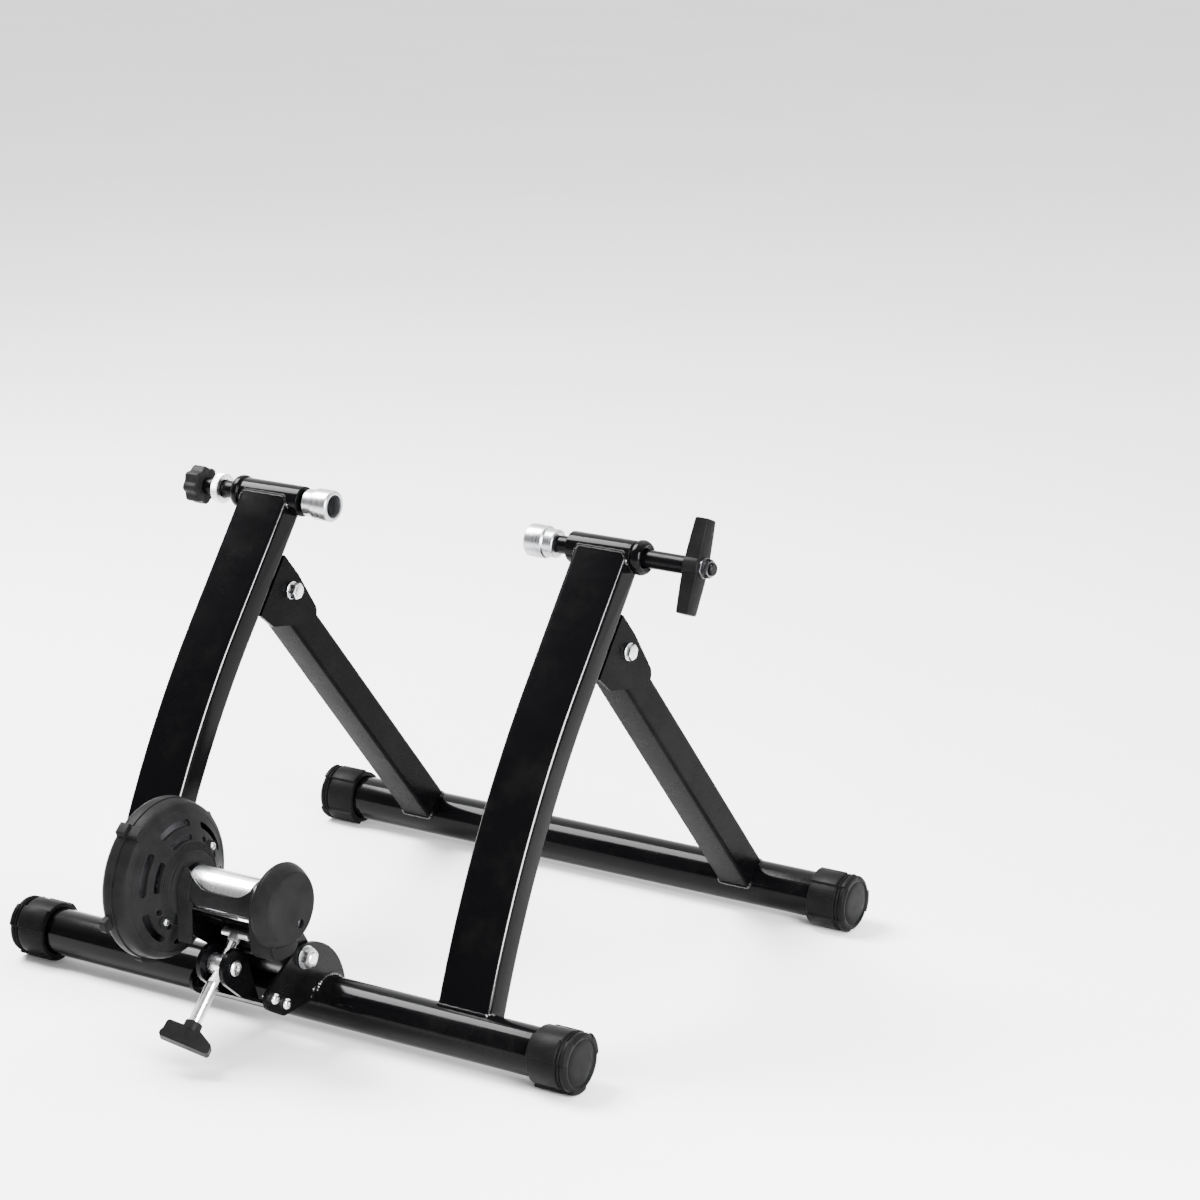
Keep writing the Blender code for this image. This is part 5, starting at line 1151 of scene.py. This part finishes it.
def roller_cover():
    x0 = BASE_IN - 0.0002
    d = 0.0595 - x0
    r = COVER_R
    w = COVER_WALL
    neck = SHROUD_R - 0.0004
    rows = [(0.0, d - 0.0004, 0.0), (r - 0.0140, d - 0.0004, 0.003), (r - 0.0066, d, 0.0003),
            (r - 0.0056, d - 0.0007, 0.0006), (r - 0.0016, d - 0.0064, 0.004), (r, 0.0150, 0.004),
            (r - 0.0010, 0.0122, 0.003), (r - 0.0044, 0.0086, 0.004), (r - 0.0096, 0.0056, 0.003),
            (neck, 0.0, 0.0005), (0.0, 0.0, 0.0)]
    drum = spun(rounded(rows, 5), x0, ROLLER_LINE, 128)
    inside = [(0.0, -0.0010), (neck - 0.0012, -0.0010), (neck - 0.0012, 0.0), (r - 0.0120, 0.0064),
              (r - 0.0068, 0.0096), (r - 0.0033, 0.0130), (r - w, 0.0154), (r - w - 0.0016, d - 0.0068),
              (r - w - 0.0064, d - w - 0.0012), (r - w - 0.0076, d - w), (0.0, d - w)]
    edge = 0.0009
    lobe = slab(lobe_outline(LOBE_R, [(-0.0207, -0.0060), (0.0170, -0.0100)]), x0 + 0.0001, LOBE_END_X - edge)
    tip = slab(lobe_outline(LOBE_R - edge, [(-0.0203, -0.0068), (0.0164, -0.0108)]), 0.0480, LOBE_END_X)
    pocket = slab(lobe_outline(LOBE_R - w), x0 - 0.0010, LOBE_END_X - w)
    bell = cut(join(drum, lobe, tip), spun(inside, x0, ROLLER_LINE, 64), pocket)
    bell = cut(bell, pin(0.0035, LOBE_END_X, 0.0615, (RY + 0.0106, RZ - 0.0155), 32))
    middle = shroud([(x, SCOOP_LOW, high) for x, high in smooth_stations(SCOOP)], 0.0182, SHROUD_R, 16)
    sleeve = shroud(smooth_stations(SLEEVE, 4), 0.0190, 0.0218, 24)
    y1 = RY - SHROUD_R + 0.0007
    pillar = block(-0.0333, -0.0205, y1 - 0.0020, y1, RZ - 0.0385, RZ - 0.0040)
    return merge(bell, middle, sleeve, pillar)


piece("roller_shroud", roller_cover(), HOUSING, "brake_arm", ["roller_cover"], 0.0, 30.0)

# Rotor
rows = [(SHAFT_BORE, 0.0, 0.0002), (0.0120, 0.0, 0.0003), (0.0124, 0.0008, 0.0003), (0.0142, 0.0008, 0.0003),
        (0.0145, 0.0, 0.0003), (ROLLER_R, 0.0, 0.0009)]
profile = [(r, depth - ROLLER_HALF, rounding) for r, depth, rounding in rows]
profile += [(r, ROLLER_HALF - depth, rounding) for r, depth, rounding in rows[::-1]]
piece("tyre_roller", spun(rounded(profile, 4), 0.0, ROLLER_LINE, 128), ROLLER_STEEL, "rotor", ["roller"])
piece("roller_shaft", pin(SHAFT_R, -0.0725, 0.0565, ROLLER_LINE, 48, 0.0006), BEARING_STEEL, "rotor",
      ["rotor_shaft"])
# The disc runs in front of the housing's back wall, the magnet plate and the magnets.
disc_x = -HOUSING_BACK + 0.0025 + 0.0028 + GAP + 0.0040 + 0.0014
disc = [(SHAFT_BORE, 0.0), (0.0520, 0.0), (0.0520, 0.0030), (0.0100, 0.0030), (0.0100, 0.0070), (SHAFT_BORE, 0.0070)]
piece("eddy_disc", spun(fillet(disc, 0.0003, 2), disc_x, ROLLER_LINE, 128), SHADED_DISC_ALLOY, "rotor",
      ["brake_disc"])
wheel = [(SHAFT_BORE, 0.0), (0.0234, 0.0), (0.0260, 0.0028), (0.0260, 0.0080), (0.0250, 0.0090), (0.0205, 0.0090),
         (0.0195, 0.0075), (0.0140, 0.0075), (0.0130, 0.0090), (SHAFT_BORE, 0.0090)]
piece("flywheel_mass", spun(fillet(wheel, 0.0004, 3), 0.0462, ROLLER_LINE), IRON, "rotor",
      ["flywheel"])
piece("retaining_clip", ring(0.0080, SHAFT_BORE, 0.0555, 0.0567, ROLLER_LINE, 48, 0.0002), ZINC, "rotor",
      ["shaft_clip"])
for name, mat in (("magnet_plate", ZINC), ("brake_magnet_ring", FERRITE)):
    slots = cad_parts[name].data.materials
    slots.clear()
    slots.append(mat)

# Height adjuster: rows of (radius, position) of the swivel's right half
end = EAR_IN + EAR_T + GAP
half = [(0.0080, EAR_IN - GAP), (0.0043, EAR_IN - GAP), (0.0043, end), (0.0062, end), (0.0062, end + 0.0008),
        (0.0046, end + 0.0020), (0.0, end + 0.0020)]
profile = [(r, -x) for r, x in half[::-1]] + half
swivel = cut(turned(fillet(profile, [0.0] + [0.0005] * 12 + [0.0], 3), (1, 0, 0), TR, 64),
             cylinder(0.0043, TR - ROD * 0.02, TR + ROD * 0.02, 40),
             pin(0.0028, end + 0.0008, end + 0.01, TR.yz, 32))
piece("swivel_pin", swivel, ZINC, "adjuster_trunnion", ["trunnion"], 0.0, 30.0)
bar = merge(pin(PUSH_R, -0.0125, 0.0125, PUSH.yz, 48, 0.0009),
            cylinder(0.0048, PUSH - ROD * 0.0065, PUSH - ROD * 0.0006, 40, 0.0004))
piece("tee_bar", bar, SATIN_ZINC, "adjuster_push", ["push_bar"])

# The rod has a thick grip end in the knob and a thread above it.
low = -0.0605 + 0.0030
grip = -0.0155
profile = [(0.0, low), (ROD_GRIP_R - 0.0005, low), (ROD_GRIP_R, low + 0.0005), (ROD_GRIP_R, grip - 0.0012),
           (ROD_R, grip)]
for k in range(int((0.0195 - grip) / THREAD_PITCH)):
    for r, share in ((0.0037, 0.10), (ROD_R, 0.45), (ROD_R, 0.62)):
        profile.append((r, grip + THREAD_PITCH * (k + share)))
profile += [(0.0034, 0.0195), (0.0026, 0.0197), (0.0, 0.0197)]
piece("lift_screw", turned(profile, ROD, TR, 48), CHROME, "adjuster_screw", ["adjuster_rod"])


def adjuster_knob():
    # A tall square wing, a lower wing with a sloping shoulder, a flat foot and a boss round the rod.
    turn = math.radians(28.0)
    across = Vector((math.cos(turn), 0.0, 0.0)) + ROD.cross(Vector((1, 0, 0))) * math.sin(turn)
    normal = ROD.cross(across)
    place = Matrix((*zip(across, ROD, normal, KNOB), (0, 0, 0, 1)))
    half = 0.0200
    foot = -0.0085
    rows = [(-half + 0.0014, foot, 0.0006), (half - 0.0014, foot, 0.0006), (half, foot + 0.0014, 0.0006),
            (half, -0.0014, 0.0006), (half - 0.0012, -0.0002, 0.0006), (0.0070, 0.0062, 0.002),
            (-half + 0.0030, 0.0056, 0.0010), (-half + 0.0014, 0.0040, 0.0010), (-half + 0.0010, -0.0020, 0.0008),
            (-half - 0.0004, -0.0048, 0.0006), (-half - 0.0004, foot + 0.0014, 0.0006)]
    wings = slab(rounded(rows, 4), -0.0060, 0.0060, (), place)
    pocket = [(-0.0165, -0.0068), (-0.0085, -0.0068), (-0.0085, 0.0036), (-0.0150, 0.0036)]
    recess = slab(pocket, 0.0052, 0.0070, (), place)
    boss = [(0.0, 0.0, 0.0), (0.0072, 0.0, 0.001), (0.0068, 0.0076, 0.0008), (0.0, 0.0076, 0.0)]
    boss = turned(rounded(boss, 4), ROD, KNOB + ROD * 0.0040, 48)
    bore = cylinder(ROD_GRIP_R + GAP, KNOB + ROD * 0.0026, KNOB + ROD * 0.03, 40)
    return cut(join(wings, boss), bore, recess)


piece("wing_knob", adjuster_knob(), KNOB_MAT, "adjuster_screw", ["adjuster_knob"], 0.0006, 40.0)

# Floor, light and camera
FLOOR_HALF = 8.0
FLOOR_Z = -0.0002
corners = [(x * FLOOR_HALF, y * FLOOR_HALF, FLOOR_Z) for x, y in ((-1, -1), (1, -1), (1, 1), (-1, 1))]
floor_mesh = bpy.data.meshes.new("floor")
floor_mesh.from_pydata(corners, [], [(0, 1, 2, 3)])
floor = bpy.data.objects.new("floor", floor_mesh)
bpy.context.scene.collection.objects.link(floor)
ground = Finish("pale_floor", (0.86, 0.86, 0.86), 0.75, 0.0, 0.2)
ground.paint(ground.remap(ground.noise(3.0, 3.0), 0.3, 0.7), (0.85, 0.85, 0.85), (0.88, 0.88, 0.88))
floor_mesh.materials.append(ground.mat)

# The sky is brightest toward this direction, so that the black faces that mirror it stay dark elsewhere.
SKY_TOWARD = (-0.33, 0.81, 0.49)
SKY_RANGE = (("From Min", 0.02), ("From Max", 0.65), ("To Min", 0.35), ("To Max", 3.0))
world = bpy.data.worlds.new("studio")
bpy.context.scene.world = world
world.use_nodes = True
tree = world.node_tree
background = tree.nodes["Background"]
coord = tree.nodes.new("ShaderNodeTexCoord")
toward = tree.nodes.new("ShaderNodeVectorMath")
toward.operation = "DOT_PRODUCT"
toward.inputs[1].default_value = SKY_TOWARD
tree.links.new(coord.outputs["Generated"], toward.inputs[0])
grade = tree.nodes.new("ShaderNodeMapRange")
for socket, value in SKY_RANGE:
    grade.inputs[socket].default_value = value
tree.links.new(toward.outputs["Value"], grade.inputs["Value"])
tree.links.new(grade.outputs["Result"], background.inputs["Strength"])
background.inputs["Color"].default_value = (1.0, 1.0, 1.0, 1.0)


def area(name, where, target, width, height, power):
    data = bpy.data.lights.new(name, "AREA")
    data.shape = "RECTANGLE"
    data.size = width
    data.size_y = height
    data.energy = power
    obj = bpy.data.objects.new(name, data)
    bpy.context.scene.collection.objects.link(obj)
    obj.location = where
    obj.rotation_mode = "QUATERNION"
    obj.rotation_quaternion = (Vector(target) - Vector(where)).to_track_quat("-Z", "Y")


area("key", (-1.35, -0.15, 2.2), (0.0, 0.0, 0.1), 1.3, 1.3, 330.0)
area("fill", (0.3, 1.6, 3.0), (0.1, 0.3, 0.0), 2.6, 2.6, 60.0)
area("edge", (1.80, -0.86, 0.90), (0.15, 0.0, 0.15), 0.8, 1.3, 190.0)

CAMERA_AT = Vector((1.6425749, -2.0888964, 1.0675324))
CAMERA_YAW = 0.57625434
CAMERA_DIP = 0.26862768
CAMERA_ROLL = 0.00210343
camera_data = bpy.data.cameras.new("camera")
camera_data.lens = 109.34
camera_data.sensor_width = 36.0
camera_data.clip_start = 0.05
camera_data.clip_end = 60.0
camera = bpy.data.objects.new("camera", camera_data)
bpy.context.scene.collection.objects.link(camera)
camera.matrix_world = (Matrix.Translation(CAMERA_AT + SHIFT) @ Matrix.Rotation(CAMERA_YAW, 4, "Z")
                       @ Matrix.Rotation(math.pi / 2 - CAMERA_DIP, 4, "X") @ Matrix.Rotation(CAMERA_ROLL, 4, "Z"))
bpy.context.scene.camera = camera
